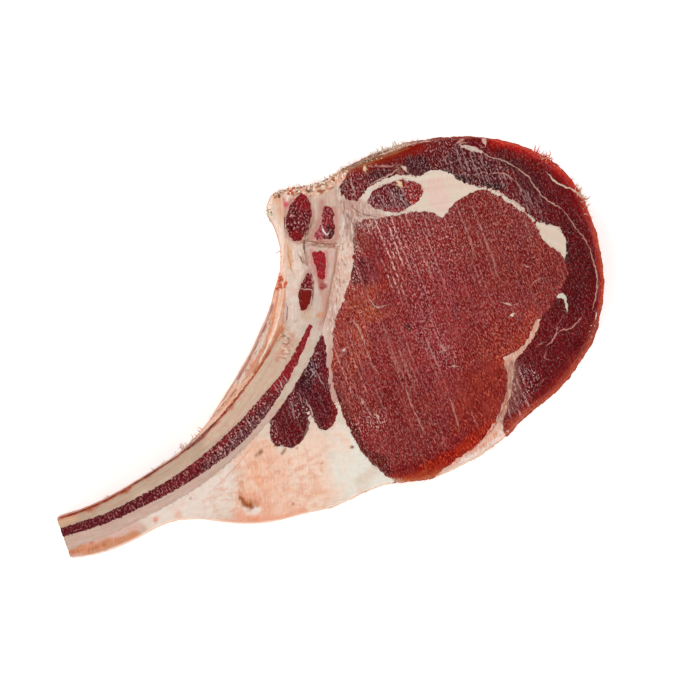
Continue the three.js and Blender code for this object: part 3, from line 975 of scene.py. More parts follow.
CAP_RIMS = [  # colour, reach from the outline in mm, strength, spread in mm, course
    ("#8a1a0a", 6.0, 0.8, 7, [(12, 80), (24, 85), (38, 90)]),
    ("#a65a3c", 3.4, 0.8, 6, [(5, 79), (14, 83), (24, 87.4)]),
    ("#9a7864", 2.3, 0.85, 6, [(4, 79), (14, 84), (24, 88)]),
    ("#c8977c", 1.7, 0.85, 5, [(26, 88), (32, 90), (37, 91)]),
    ("#c0a08c", 1.0, 0.8, 5, [(0, 78), (8, 82), (20, 87), (32, 90.4), (42, 92)]),
    ("#70090a", 3.0, 0.7, 6, [(44, 92), (52, 92), (62, 93)]),
    ("#93351d", 0.9, 0.75, 6, [(42, 92), (52, 92), (64, 93)]),
    ("#800605", 4.6, 0.85, 8, [(74, 92), (86, 88), (96, 83), (104, 76), (110, 68)]),
    ("#b4140a", 3.4, 0.9, 6, [(76, 91), (88, 88), (97, 82), (104, 76), (107, 71)]),
    ("#cc2c0e", 1.8, 0.9, 6, [(76, 91), (90, 86), (97, 82), (102, 78), (106, 73)]),
    ("#c8482a", 0.7, 0.8, 6, [(74, 92), (86, 88), (96, 83), (106, 73)]),
    ("#7c070a", 3.4, 0.85, 8, CAP_RIGHT),
    ("#a81c0a", 2.3, 0.9, 8, CAP_RIGHT),
    ("#bc4620", 1.3, 0.9, 8, CAP_RIGHT),
    ("#7e241a", 4.2, 0.7, 7, [(117, 8), (112, -3), (106, -10)]),
    ("#98382a", 1.7, 0.8, 7, [(118, 12), (114, 1), (108, -7)]),
    ("#8a2018", 5.0, 0.75, 8, [(106, -10), (98, -18), (90, -25), (84, -30)]),
    ("#a63c20", 2.4, 0.85, 8, CAP_LOWER_RIGHT),
    ("#b85430", 1.1, 0.85, 8, CAP_LOWER_RIGHT),
    ("#a8412c", 4.0, 0.9, 4, [(83, -31), (79, -34), (77, -36)]),
    ("#cf7a5c", 1.0, 0.8, 5, [(83, -32), (79, -36), (77, -38)]),
]
CAP_FLANK = ("#7e2212", "#9c381e", "#b46c4c")
CAP_THREADS = [
    ("#e2cdbb", 0.4, [(17, 85.2), (22, 86.9), (28, 88.7), (34, 90.2)]),
    ("#dfc4ae", 0.4, [(38, 90.6), (43, 91)]),
    ("#6e4436", 0.24, [(6, 80), (12, 82.4), (16, 83.9), (20, 85.3), (26, 87.2)]),
    ("#d9b49c", 0.26, [(20, 84.4), (26, 86.5), (32, 88.7)]),
    ("#7a4630", 0.22, [(10, 80.2), (16, 82.6), (22, 84.6)]),
    ("#b06a3c", 0.2, [(12, 79.4), (20, 82.6), (28, 85.6), (34, 87.8)]),
    ("#c08a80", 0.3, [(16, 79.4), (20, 80), (25, 79.6), (30, 80.8)]),
    # a painted highlight: a white wet glint near the right rim, drawn as a thread
    ("#f2ded8", 0.34, [(115.8, 15.6), (116, 12.6)]),
    ("#d8c0b0", 1.0, [(56.6, 88.6), (60, 88), (66, 86)]),
    ("#c9a090", 0.23, [(66, 86), (70, 83.4), (74, 82.5), (78, 80.8), (81, 79)]),
    ("#d4a391", 0.25, [(81, 79), (85.6, 75.6), (88.6, 71.4), (92, 67), (96, 63.8), (100.6, 61.4)]),
    ("#c78d7c", 0.2, [(100.6, 61.4), (104, 57), (107, 52.6), (110.4, 48.6), (113.2, 43.4)]),
    ("#cd9a88", 0.24, [(113.2, 43.4), (115, 37), (116.4, 30), (115.8, 23), (114.4, 17.6)]),
    ("#8f4a44", 0.18, [(111, 54), (108, 58), (105, 61)]),
    ("#c59583", 0.25, [(70, 76.6), (73, 77), (76, 76.4), (79.6, 74)]),
    ("#a5786c", 0.18, [(79.6, 74), (84, 69), (86.6, 64)]),
    ("#dcc0a8", 0.36, [(94.6, 76.6), (98, 73), (101, 71.2), (105.4, 69.6), (109.4, 67), (112.6, 64)]),
    ("#c98d80", 0.25, [(109.4, 13.4), (106.6, 10.2), (103.6, 8.2), (101.4, 8), (99.6, 7)]),
    ("#c98d80", 0.29, [(98.6, 9.4), (98.4, 6.4), (97, 3.6), (94.4, 1)]),
    ("#a0605a", 0.18, [(98.6, 9.4), (100, 12), (102.4, 15)]),
    ("#b57a70", 0.22, [(90, 1.2), (93, 2.4)]),
    ("#b57a70", 0.18, [(91, -16), (93, -13.6)]),
    ("#b57a70", 0.25, [(94, -1.4), (93.2, -4), (95, -5)]),
    ("#d8cfbc", 1.5, [(98.6, 22.6), (101, 22.8), (102.6, 21)]),
    ("#d2c8b4", 0.65, [(102, 21.6), (102.8, 18.6), (103.2, 16.4)]),
    ("#a86860", 0.22, [(6.6, 66), (6, 69), (4.6, 73)]),
    ("#c39a8c", 0.29, [(10.6, 66), (9.4, 70), (8, 74)]),
    ("#8f4a40", 0.22, [(17, 79), (22, 80.4), (27, 80), (30, 80.6)]),
    ("#c39a8c", 0.32, [(17, 71.6), (22, 74.4), (26, 76.4), (29, 78.4)]),
    ("#ecc9a4", 1.6, [(14, 79.6), (14.6, 78)]),
    ("#d9b8a4", 1.4, [(31, 79.4), (32.4, 78)]),
    ("#c98e80", 1.3, [(55, 90), (57.6, 91.4)]),
    ("#d9aa9c", 1.5, [(66.6, 92.4), (67, 89.6)]),
    ("#9a7470", 0.25, [(55, 84.6), (57, 79)]),
    ("#a68681", 0.25, [(60.6, 85), (63, 79), (65, 75)]),
    ("#8f6f6c", 0.22, [(51, 84), (53, 78)]),
    ("#a37a74", 0.18, [(81, 64.6), (84, 60)]),
]
CAP_STREAKS = [
    (0.45, 7, [(54, 82), (60, 80), (68, 78)]),
    (0.8, 4, [(81, -10), (82, -20), (81, -27)]),
    (0.5, 5, [(78, 72), (90, 58)]),
    (0.3, 5, [(8, 70), (20, 78)]),
    (0.15, 4, [(36, 84), (48, 88)]),
    (0.0, 3, CAP_UPPER_LEFT),
]
# painted glints on the cap: where small wet highlights are painted
CAP_PAINTED_GLINTS = [
    (0.6, 8, [(46, 82), (56, 80), (68, 77)]),
    (0.6, 7, [(4, 70), (12, 72)]),
    (0.9, 3, [(85, -10), (88, -14), (86, -20)]),
    (0.6, 4, [(44, 88), (50, 88)]),
    (0.8, 3, [(10, 75), (15, 72)]),
    (0.3, 5, [(20, 78), (34, 80)]),
    (0.0, 3, CAP_UPPER_LEFT),
    (0.9, 1.4, [(2, 79.4), (16, 85.4), (28, 89.8), (38, 92)]),
    (0.5, 5, [(76, 66), (88, 60)]),
    (0.05, 5, [(100, 76), (116, 56), (119, 30), (114, 4), (92, -24)]),
]

for node, name in (("cap_muscle", "cap_of_meat"), ("outer_cap_muscle", "outer_layer_of_the_cap")):
    cap = dress(
        node, name, dark_meat,
        relief=((0.11, 1.6, 21), (0.24, 5, 22), (0.4, 17, 23)), base="#680b12", patches=CAP_PATCHES,
        rims=CAP_RIMS, flank=CAP_FLANK, threads=CAP_THREADS,
        weights={"streaks": (0.05, CAP_STREAKS), "flecks": (0.16, CAP_PAINTED_GLINTS)},
    )

# %% [markdown]
# ## The two small dark muscles
# A small oval muscle lies in the fat above the eye, greyish purple with an orange-red end. Another,
# nearly black with glints, fills the hollow inside the rib.

# %% The small muscle above the eye
SMALL_PATCHES = [
    ("#5a3036", 4, 0.6, [(21, 65), (28, 65.4)]),
    ("#6c121c", 3, 0.8, [(21, 67), (24, 70.6)]),
    ("#921a12", 3, 0.75, [(34, 71), (38, 69), (37, 65)]),
    ("#a2341a", 1.2, 0.8, [(38.8, 71.4), (39.6, 67.6)]),
    ("#3c1418", 1.6, 0.7, [(28, 70), (31, 66), (33, 62.6)]),
]
SMALL_THREADS = [
    ("#f0cfa4", 1.9, [(29.2, 72.6), (30.2, 71.6)]),
    ("#a58380", 0.29, [(20, 68.4), (22, 64.6), (24, 61.6)]),
    ("#a58380", 0.29, [(25, 70), (27, 66), (28.6, 61.6)]),
    ("#b39390", 0.29, [(29.6, 68), (31, 64.6), (32.6, 62)]),
]
small = dress(
    "small_muscle", "small_oval_muscle", dark_meat,
    relief=((0.14, 1.4, 31), (0.2, 4, 32)), base="#8c2c2e", patches=SMALL_PATCHES,
    # painted glints, small wet highlights, over most of the small muscle
    threads=SMALL_THREADS, weights={"streaks": (0.4, ()), "flecks": (0.9, ())},
)

# %% The muscle in the hollow of the rib
HOLLOW_PATCHES = [
    ("#6c1620", 6, 0.7, [(-5, 2), (-4, -12)]),
    ("#34101a", 3.6, 0.8, [(-9, -8), (-12, -15)]),
    ("#440a16", 4, 0.7, [(-13, -18), (-10, -22)]),
    ("#6a1a1e", 5, 0.6, [(-20, -22), (-24, -36)]),
    ("#5c0a14", 5, 0.6, [(-4, -28), (-8, -24)]),
    ("#7d140c", 1.6, 0.8, [(-1, -22), (1.6, -28), (0, -34)]),
]
HOLLOW_THREADS = [
    ("#8b6a58", 0.58, [(-10.2, -32), (-10.8, -36), (-13, -41)]),
    ("#93786c", 0.58, [(-16, -43.4), (-21, -44.4), (-25, -43.4)]),
    ("#c5a9a0", 0.36, [(-11.4, -23), (-9.4, -27), (-8.4, -31), (-7, -35)]),
    ("#b79a98", 0.29, [(-8.4, -3), (-9.6, -5.6)]),
    ("#b79a98", 0.36, [(-9.4, -9), (-8.2, -11), (-9.4, -13)]),
    ("#a98a88", 0.25, [(-7, -10), (-3.4, -17)]),
    ("#a98a88", 0.29, [(-17.4, -24), (-16.6, -31)]),
    ("#a98a88", 0.29, [(-14.4, -20), (-13, -24)]),
]
# painted glints on the dark muscle in the hollow: where small wet highlights are painted
HOLLOW_PAINTED_GLINTS = [
    (0.9, 2.4, [(-19, -18), (-15, -28)]),
    (0.9, 2, [(-26.6, -33), (-25, -41)]),
    (0.7, 3, [(-8, -4), (-9, -12)]),
]
hollow = dress(
    "intercostal_muscle", "muscle_in_the_hollow_of_the_rib", dark_meat,
    relief=((0.16, 1.5, 41), (0.3, 4.5, 42), (0.4, 14, 43)), base="#620a16", patches=HOLLOW_PATCHES,
    threads=HOLLOW_THREADS, weights={"streaks": (0.15, ()), "flecks": (0.2, HOLLOW_PAINTED_GLINTS)},
)

# %% [markdown]
# ## Bone
# The saw leaves bone matt and finely scratched. Along the rib its hard wall is khaki outside and pinkish
# grey inside, streaked along the bone, so the pattern follows a course laid down the rib's middle. A
# red-brown skin, the periosteum, lines its outer edge, and brown clefts part it from the chine.

# %% The bone's material
BONE_STAIN = 0.3
CRUST_PIT = 2.0


def sawn_bone(name):
    """Compact bone: faint streaks along it, scratches across it from the saw, and small dark pores."""
    material, tree, shader = start_material(name, {"Roughness": 0.5, "Specular IOR Level": 0.1})
    place = add_node(tree, "TexCoord").node.outputs["Object"]
    course = add_node(tree, "Attribute", attribute_name="course").node.outputs["Vector"]
    colour = add_node(tree, "Attribute", attribute_name="paint")

    streaks = blotches(tree, course, (9, 0.7, 5), 0.32, 0.68, detail=4)
    light = add_node(tree, "MapRange", {"Value": streaks, "To Min": 0.9, "To Max": 1.07})
    colour = add_node(tree, "HueSaturation", {"Value": light, "Color": colour})
    pink = blotches(tree, place, (3.2, 2.2, 4), 0.42, 0.68, detail=4, apart=4.2)
    khaki = blotches(tree, place, (2.6, 3.4, 4), 0.45, 0.7, detail=4, apart=2.2)
    pores = blotches(tree, course, (1.6, 0.5, 0.5), 0.62, 0.72, apart=8.8)
    for pattern, hex_code in ((pink, "#d48f7e"), (khaki, "#b9a88c"), (pores, "#8a5a48")):
        colour, _ = stained(tree, colour, pattern, BONE_STAIN, hex_code)
    weight = add_node(tree, "Attribute", attribute_name="crust").node.outputs["Fac"]
    for low, high, apart, hex_code in (
        (0.5, 0.58, 5.9, "#f4dcc6"),
        (0.54, 0.6, 4.6, "#c0603a"),
        (0.53, 0.6, 6.7, "#5e3c2a"),
    ):
        bits = blotches(tree, place, (2.4, 1.6, 2), low, high, detail=4, apart=apart)
        colour, crust = stained(tree, colour, bits, weight, hex_code)
    threads = drawn_over(tree, place, colour, shader)

    scratches = blotches(tree, place, (14, 0.5, 2), 0.3, 0.7, CUT_ANGLE, detail=2, apart=1.3)
    raised = add_node(tree, "Math", {0: scratches, 1: pores}, operation="SUBTRACT")
    raised = add_node(tree, "Math", {0: raised, 1: threads}, operation="SUBTRACT")
    # the last crust, the dark one, is pitted
    raised = add_node(tree, "Math", {0: crust, 1: -CRUST_PIT, 2: raised}, operation="MULTIPLY_ADD")
    bump = add_node(tree, "Bump", {"Height": raised, "Strength": 0.5, "Distance": 0.1 * MM})
    tree.links.new(bump, shader.inputs["Normal"])
    return material


bone = sawn_bone("sawn_compact_bone")

# %% The rib and the chine
PROUD_BONE = 0.55
RIB_LINE = [
    (-124, -82.6),
    (-97, -73.8),
    (-70, -59.9),
    (-48, -44.2),
    (-30, -25.4),
    (-16.6, -5.6),
    (-9.2, 10),
    (-6, 30),
    (-5, 70),
]
CHINE_LINE = [(-20, 76), (-19, 50), (-19.6, 10)]
RIB_EDGE_BY_TIP = [(-119, -74.2), (-110, -71.2), (-99, -66.3), (-88, -60.2)]
RIB_EDGE = [(-88, -60.2), (-77, -53.1), (-67, -46.3), (-58.8, -40.4), (-50.6, -32.2)]
BONE_PATCHES = [
    ("#b79c86", 5, 0.85, [(-118, -74), (-99, -67), (-77, -54.5), (-60, -44)]),
    ("#cfb098", 6, 0.8, [(-52, -36), (-36, -17), (-24, 0)]),
    ("#c8a99c", 4, 0.85, [(-116, -86), (-97, -79), (-84, -73), (-60, -60), (-40, -43.4), (-26, -28)]),
    ("#cfbcac", 3.4, 0.8, [(-20, -20), (-10.6, -4), (-5.4, 8)]),
    ("#d8a680", 2.6, 0.7, [(-119, -76), (-114, -73.6)]),
    ("#e4cbb8", 7, 0.9, [(-22, 66), (-20, 50), (-20, 32)]),
    ("#e4cdbe", 5, 0.85, [(-16, 44), (-16, 30), (-16.4, 20)]),
    ("#dcc9bc", 4, 0.8, [(-17, 20), (-16, 12), (-13, 8)]),
    ("#cdb2a4", 3.6, 0.85, [(-6.4, 68), (-6.4, 58), (-9.6, 51)]),
    ("#cdae9f", 4.0, 0.85, [(2, 68), (3.4, 58), (3, 48)]),
    ("#d0b6ab", 3.0, 0.85, [(-9.4, 43), (-9.6, 38), (-7.4, 32), (-6.6, 26)]),
    ("#d5b2a8", 4, 0.8, [(0, 42), (0, 32), (-2, 26)]),
    ("#cfbbad", 3, 0.8, [(-6.8, 24), (-7, 14), (-10, 8)]),
    ("#c08a7e", 1.6, 0.7, [(-3.6, 26), (-3, 18), (-5, 11)]),
    ("#b58a7c", 1.2, 0.85, [(-10, 46.2), (-5, 45.6), (1, 44.8)]),
    ("#e0a298", 1.6, 0.6, [(-21.4, 63.6), (-21.2, 54)]),
    ("#b5655c", 1.0, 0.65, [(-17.6, 65.4), (-20, 60), (-20.2, 54), (-18.4, 49), (-15, 46.6), (-12, 48)]),
    ("#ac6a60", 1.0, 0.65, [(-10.8, 66), (-9, 60), (-9, 56), (-11, 51)]),
    (
        "#b8726a",
        1.0,
        0.65,
        [(-4.6, 64), (-4.8, 57), (-8.4, 50), (-7, 47.6), (1.4, 47.4), (1.8, 55), (0.8, 61)],
    ),
    ("#bf6a66", 1.0, 0.65, [(-9, 42.4), (-8, 36), (-5.6, 30.4), (-3.4, 31), (-2.8, 38), (-2.8, 42)]),
    ("#a8685c", 0.6, 0.5, [(-14.2, 26), (-13, 30), (-10.6, 33.4), (-8.6, 28), (-8.8, 20), (-12, 15)]),
    ("#e2ab8c", 2.0, 0.6, [(-19.6, 44), (-19, 36)]),
    ("#a8524e", 1.0, 0.75, [(-5.4, 30), (-4, 26.6)]),
    ("#c98a78", 1.4, 0.7, [(-24, -5), (-20, 0), (-18, 5)]),
    ("#b5603a", 1.3, 0.7, [(-23.6, 4.6), (-22, 7.6)]),
    ("#cf8a5c", 1.4, 0.75, [(-6, 14.2), (-5, 14.6)]),
    ("#8e2028", 0.9, 0.9, [(-4, 26.8), (-3, 27.2)]),
    ("#c8405a", 1.0, 0.9, [(-20.6, 63.6), (-20.2, 63)]),
    ("#e2988e", 1.2, 0.8, [(-24.4, 64.4), (-22, 64.6)]),
    ("#e0a898", 0.9, 0.7, [(-24.6, 59), (-24.2, 56)]),
    ("#c49472", 1.7, 0.9, [(-22, 69), (-16, 69.8), (-8, 70.6)]),
    ("#dca286", 2.2, 0.8, [(-13, 69), (-6, 69.4), (-2, 70)]),
    ("#d6a488", 2.4, 0.8, [(-6, 71.6), (-2, 73.4), (2, 75)]),
    ("#e9b8a2", 1.6, 0.7, [(-1, 71.4), (1.6, 71)]),
    ("#b5603c", 1.1, 0.85, [(-19.4, 69.4), (-16.8, 69.6)]),
    ("#c4432c", 0.9, 0.9, [(-10.4, 72), (-9.4, 72.2)]),
    ("#d06a48", 0.8, 0.85, [(-5.2, 68.4), (-4.2, 68.0)]),
    ("#f0c4b6", 1.2, 0.8, [(-19.6, 67.2), (-18.2, 67.4)]),
    ("#e8c9b0", 1.2, 0.8, [(-8.4, 67.4), (-7, 67)]),
    ("#8a5038", 0.9, 0.9, [(-5.6, 71.8), (-3.4, 72.2)]),
    ("#96705a", 0.55, 0.8, [(-12.2, 47.4), (-12.2, 44), (-11.6, 41), (-10.8, 37)]),
    ("#a08068", 0.55, 0.8, [(-12.2, 47.4), (-10.6, 50.6), (-9.2, 54.4), (-8.4, 57)]),
    ("#9a7a64", 0.5, 0.7, [(-13.6, 40), (-12.4, 37.6)]),
    ("#a67c62", 0.5, 0.7, [(2.2, 44), (1.4, 36), (-1.4, 22), (-3.6, 11)]),
    ("#a84420", 1.1, 0.9, RIB_EDGE_BY_TIP),
    ("#963614", 0.9, 0.9, RIB_EDGE),
    ("#b04a22", 0.8, 0.85, [(-50.6, -32.2), (-43.2, -23.6), (-37, -15.4), (-32, -8.2), (-27.4, -1.2)]),
]
BONE_THREADS = [
    ("#86280c", 0.7, RIB_EDGE_BY_TIP),
    ("#6e1a0c", 0.6, RIB_EDGE),
    ("#8c2a0c", 0.55, [(-50.6, -32.2), (-43.2, -23.6), (-37, -15.4)]),
    ("#b03e14", 0.65, [(-37, -15.4), (-32, -8.2), (-27.4, -1.2)]),
    ("#b79a86", 0.25, [(-60, -61.2), (-49, -53), (-39.8, -44.6), (-31.6, -36.2)]),
    ("#6a4a3a", 0.26, [(-11.4, 46.9), (-8.6, 46.6), (-4.6, 45.9), (1.2, 45.6)]),
    ("#a3745f", 0.16, [(-9, 45), (-5, 44.4), (1.6, 43.9)]),
    ("#5e4436", 0.26, [(-12.2, 47.4), (-12.2, 44), (-11.6, 41)]),
    ("#b57a4c", 0.24, [(-11.6, 41), (-11.2, 38)]),
    ("#8e7460", 0.2, [(-10.4, 36), (-9.6, 33.6)]),
    ("#6a503e", 0.24, [(-12.2, 47.4), (-10.6, 50.6), (-9.2, 54.4)]),
    ("#a88b76", 0.14, [(-9.2, 54.4), (-8.2, 58)]),
    ("#a8524e", 0.3, [(-11.4, 37), (-10.6, 36)]),
    ("#7a1f24", 0.36, [(-19.7, 18), (-19.9, 12)]),
    ("#b37a60", 0.25, [(2, 44), (1.4, 36), (-1.4, 22), (-3.6, 11)]),
    ("#c98a52", 0.29, [(-19.4, 45), (-18.6, 38), (-17.2, 33)]),
    ("#d49a62", 0.22, [(-18, 43), (-17.4, 38)]),
    ("#7c4438", 0.36, [(-14.6, 41), (-12.8, 37.4)]),
    ("#a01f2a", 0.58, [(-2, 45), (-1, 45)]),
    ("#a01f2a", 0.5, [(0.6, 44.8), (1.4, 44.8)]),
    ("#9a7858", 0.29, [(-27.6, 66), (-22, 68.6), (-15, 70.6)]),
    ("#6e4a36", 0.25, [(-14, 71), (-8, 71.6), (-3, 74), (2, 77.6)]),
]
BONE_CRUST = [
    (1.0, 2.0, [(-27, 66.8), (-20, 69), (-12, 70.6), (-7, 71.4), (-2, 73.4), (2, 76)]),
    (0.6, 2.6, [(-20, 67.6), (-6, 69.6), (0, 72)]),
    (0.5, 1.6, [(-12, 47), (-8, 46), (2, 45)]),
    (0.5, 2, [(-22, 8), (-20, 2), (-21, -4)]),
]

for node, name, line in (
    ("rib_bone", "sawn_rib", RIB_LINE),
    ("chine_bone", "sawn_chine", CHINE_LINE),
):
    piece = dress(
        node, name, bone,
        relief=((0.05, 1.2, 51), (0.12, 5, 52)), base="#cdb19c", patches=BONE_PATCHES,
        flank=("#a06a50", "#c39c84", "#d8bca6"), threads=BONE_THREADS,
        weights={"crust": (0, BONE_CRUST)}, course=line, proud=PROUD_BONE,
    )

# %% [markdown]
# ## Marrow
# The middle of each bone is spongy: a mesh of tiny struts full of red marrow. The saw opens it, so pale
# struts show as specks and short bars across a wet crimson ground.


# %% The marrow's material
def spongy_marrow(name):
    """Red marrow between pale bone struts, which show where the weight `struts` is high."""
    material, tree, shader = start_material(name, {"Roughness": 0.45, "Specular IOR Level": 0.06})
    place = add_node(tree, "TexCoord").node.outputs["Object"]
    colour = add_node(tree, "Attribute", attribute_name="paint")
    cells = blotches(tree, place, (1.3, 0.95, 1), 0.34, 0.62, CUT_ANGLE, detail=3)
    weight = add_node(tree, "Attribute", attribute_name="struts")
    depth = add_node(tree, "MapRange", {"Value": weight, "From Max": 0.6, "To Min": 0.3})
    colour = tinted(tree, colour, cells, (0.42, 0.1, 0.14), (1.3, 1.4, 1.4), depth)
    bars = blotches(tree, place, (1.0, 0.7, 0.8), 0.5, 0.68, CUT_ANGLE, detail=3, apart=6.1)
    colour, struts = stained(tree, colour, bars, weight, "#d49a90")
    drawn_over(tree, place, colour, shader)
    raised = add_node(tree, "Math", {0: cells, 1: struts}, operation="ADD")
    bump = add_node(tree, "Bump", {"Height": raised, "Strength": 0.7, "Distance": 0.2 * MM})
    tree.links.new(bump, shader.inputs["Normal"])
    return material


marrow = spongy_marrow("red_marrow_in_spongy_bone")

# %% The five cores
NECK_CORE = [(-6, 41), (-5, 31)]
JOINT_CORE = [(-12, 22.4), (-12.4, 17)]
MARROW_PATCHES = [
    ("#560a18", 9, 0.7, [(-118, -80), (-100, -75), (-83, -67)]),
    ("#5c3438", 5, 0.8, [(-52, -48), (-42, -39.6), (-33, -29.6)]),
    ("#74121a", 1.6, 0.85, [(-62, -51.8), (-50, -43.2), (-40, -33.4), (-31, -23.2)]),
    ("#8c1a22", 3, 0.9, [(-24, -16), (-16, -5), (-12, 3), (-9, 10)]),
    ("#8a101c", 3.4, 0.8, [(-13, 66.4), (-12, 62.6)]),
    ("#64141a", 4, 0.7, [(-15, 58), (-15.6, 53)]),
    ("#780f12", 2.6, 0.85, [(-15.6, 48.6)]),
    ("#a01a24", 5, 0.9, NECK_CORE),
    ("#8a262c", 5, 0.8, [(-1.6, 62), (-1, 56)]),
    ("#4a1218", 1.2, 0.8, [(-1.6, 53), (-0.6, 49.6)]),
    ("#a84a52", 2.2, 0.8, [(-7, 48.8), (-4.6, 51)]),
    ("#681016", 3, 0.8, [(-10.6, 31)]),
    ("#78180f", 4, 0.9, JOINT_CORE),
]
MARROW_THREADS = [
    ("#c4aaa2", 0.3, [(-25.4, -16.6), (-23.6, -19.4)]),
    ("#c8b0a8", 0.32, [(-23, -14.6), (-21.4, -17.6)]),
    ("#b89a94", 0.28, [(-21, -12.4), (-19.4, -15.2)]),
    ("#b49690", 0.3, [(-37.6, -30.6), (-34.4, -35.6)]),
    ("#a88a86", 0.3, [(-41.4, -34), (-38.8, -38.6)]),
    ("#a08480", 0.3, [(-45.6, -38.6), (-43, -42.8)]),
    ("#e5dcd6", 0.45, [(-4.6, 53.8), (-3.6, 51.2), (-2.4, 49.6), (-1.6, 50.4)]),
    ("#d0aca2", 0.26, [(-15, 25.7), (-11, 25.9), (-8, 25.5)]),
]
MARROW_STRUTS = [
    (1.0, 4, [(-52, -48), (-42, -39.6), (-31, -27)]),
    (0.15, 3, [(-24, -16), (-9, 10)]),
    (0.85, 4, [(-15, 60), (-15.6, 54)]),
    (0.35, 3.4, [(-13, 66.4), (-11.6, 63)]),
    (0.1, 2.4, [(-15.6, 48.2)]),
    (0.2, 6, NECK_CORE),
    (0.55, 5, [(-1.6, 62), (-1, 50)]),
    (0.8, 2.6, [(-10.6, 32), (-11.6, 28.6)]),
    (0.0, 3.4, JOINT_CORE),
    (0.35, 8, [(-118, -80), (-90, -71)]),
]
CORES = (  # node, name, slot
    ("rib_marrow", "core_of_the_rib", "marrow"),
    ("neck_marrow", "core_of_the_neck", "red_marrow"),
    ("chine_marrow", "core_of_the_chine", "marrow"),
    ("process_marrow", "core_of_the_process", "red_marrow"),
    ("joint_marrow", "core_at_the_joint", "marrow"),
)

for node, name, slot in CORES:
    core = dress(
        node, name, marrow,
        relief=((0.12, 1.0, 61), (0.1, 3, 62)), base="#66141c", patches=MARROW_PATCHES,
        threads=MARROW_THREADS, weights={"struts": (0.5, MARROW_STRUTS)}, proud=PROUD_BONE,
    )

# %% [markdown]
# ## Fat
# Beef fat is firm and waxy, so light goes a little way into it. It is cream, blushed orange-pink where
# blood touched it, and crossed by faint veins. The fatty skin on the inner side of the rib cage lies in
# long streaks that follow the rib.

# %% The fat's material
DAB_ANGLE = math.radians(-86)


def waxy_fat(name, blush, blush_mm, lobule_mm, lobule_light):
    """Firm fat with clouds of blush and fine lobules, and brown specks and pale flecks by their weights."""
    material, tree, shader = start_material(
        name,
        {
            "Roughness": 0.45,
            "Specular IOR Level": 0.1,
            "Subsurface Weight": 0.15,
            "Subsurface Radius": (2 * MM, 1 * MM, 0.6 * MM),
            "Subsurface Scale": 1.0,
        },
    )
    place = add_node(tree, "TexCoord").node.outputs["Object"]
    course = add_node(tree, "Attribute", attribute_name="course").node.outputs["Vector"]
    colour = add_node(tree, "Attribute", attribute_name="paint")
    clouds = blotches(tree, course, blush_mm, 0.42, 0.7, detail=4)
    dabs = blotches(tree, place, (2.0, 1.0, 2), 0.5, 0.66, DAB_ANGLE, detail=5, apart=8.1)
    pale_dabs = blotches(tree, place, (3.0, 0.8, 2), 0.48, 0.66, DAB_ANGLE, detail=4, apart=3.7)
    for pattern, name_of_weight, hex_code in (
        (clouds, "blush", blush),
        (dabs, "specks", "#8e6252"),
        (pale_dabs, "flecks", "#efe0d4"),
    ):
        weight = add_node(tree, "Attribute", attribute_name=name_of_weight).node.outputs["Fac"]
        colour, _ = stained(tree, colour, pattern, weight, hex_code)
    lobules = blotches(tree, course, lobule_mm, 0.32, 0.68, detail=4, apart=5.5)
    dark, pale = lobule_light
    light = add_node(tree, "MapRange", {"Value": lobules, "To Min": dark, "To Max": pale})
    colour = add_node(tree, "HueSaturation", {"Value": light, "Color": colour})
    drawn_over(tree, place, colour, shader)
    bump = add_node(tree, "Bump", {"Height": lobules, "Strength": 0.5, "Distance": 0.2 * MM})
    tree.links.new(bump, shader.inputs["Normal"])
    return material


seam_fat = waxy_fat(
    "firm_beef_fat",
    blush="#dc9474",
    blush_mm=(3.6, 2.2, 5),
    lobule_mm=(2.4, 1.7, 2),
    lobule_light=(0.97, 1.03),
)
skin_fat = waxy_fat(
    "fatty_skin_inside_the_ribs",
    blush="#cc7a52",
    blush_mm=(12, 0.8, 5),
    lobule_mm=(5, 0.6, 3),
    lobule_light=(0.93, 1.05),
)

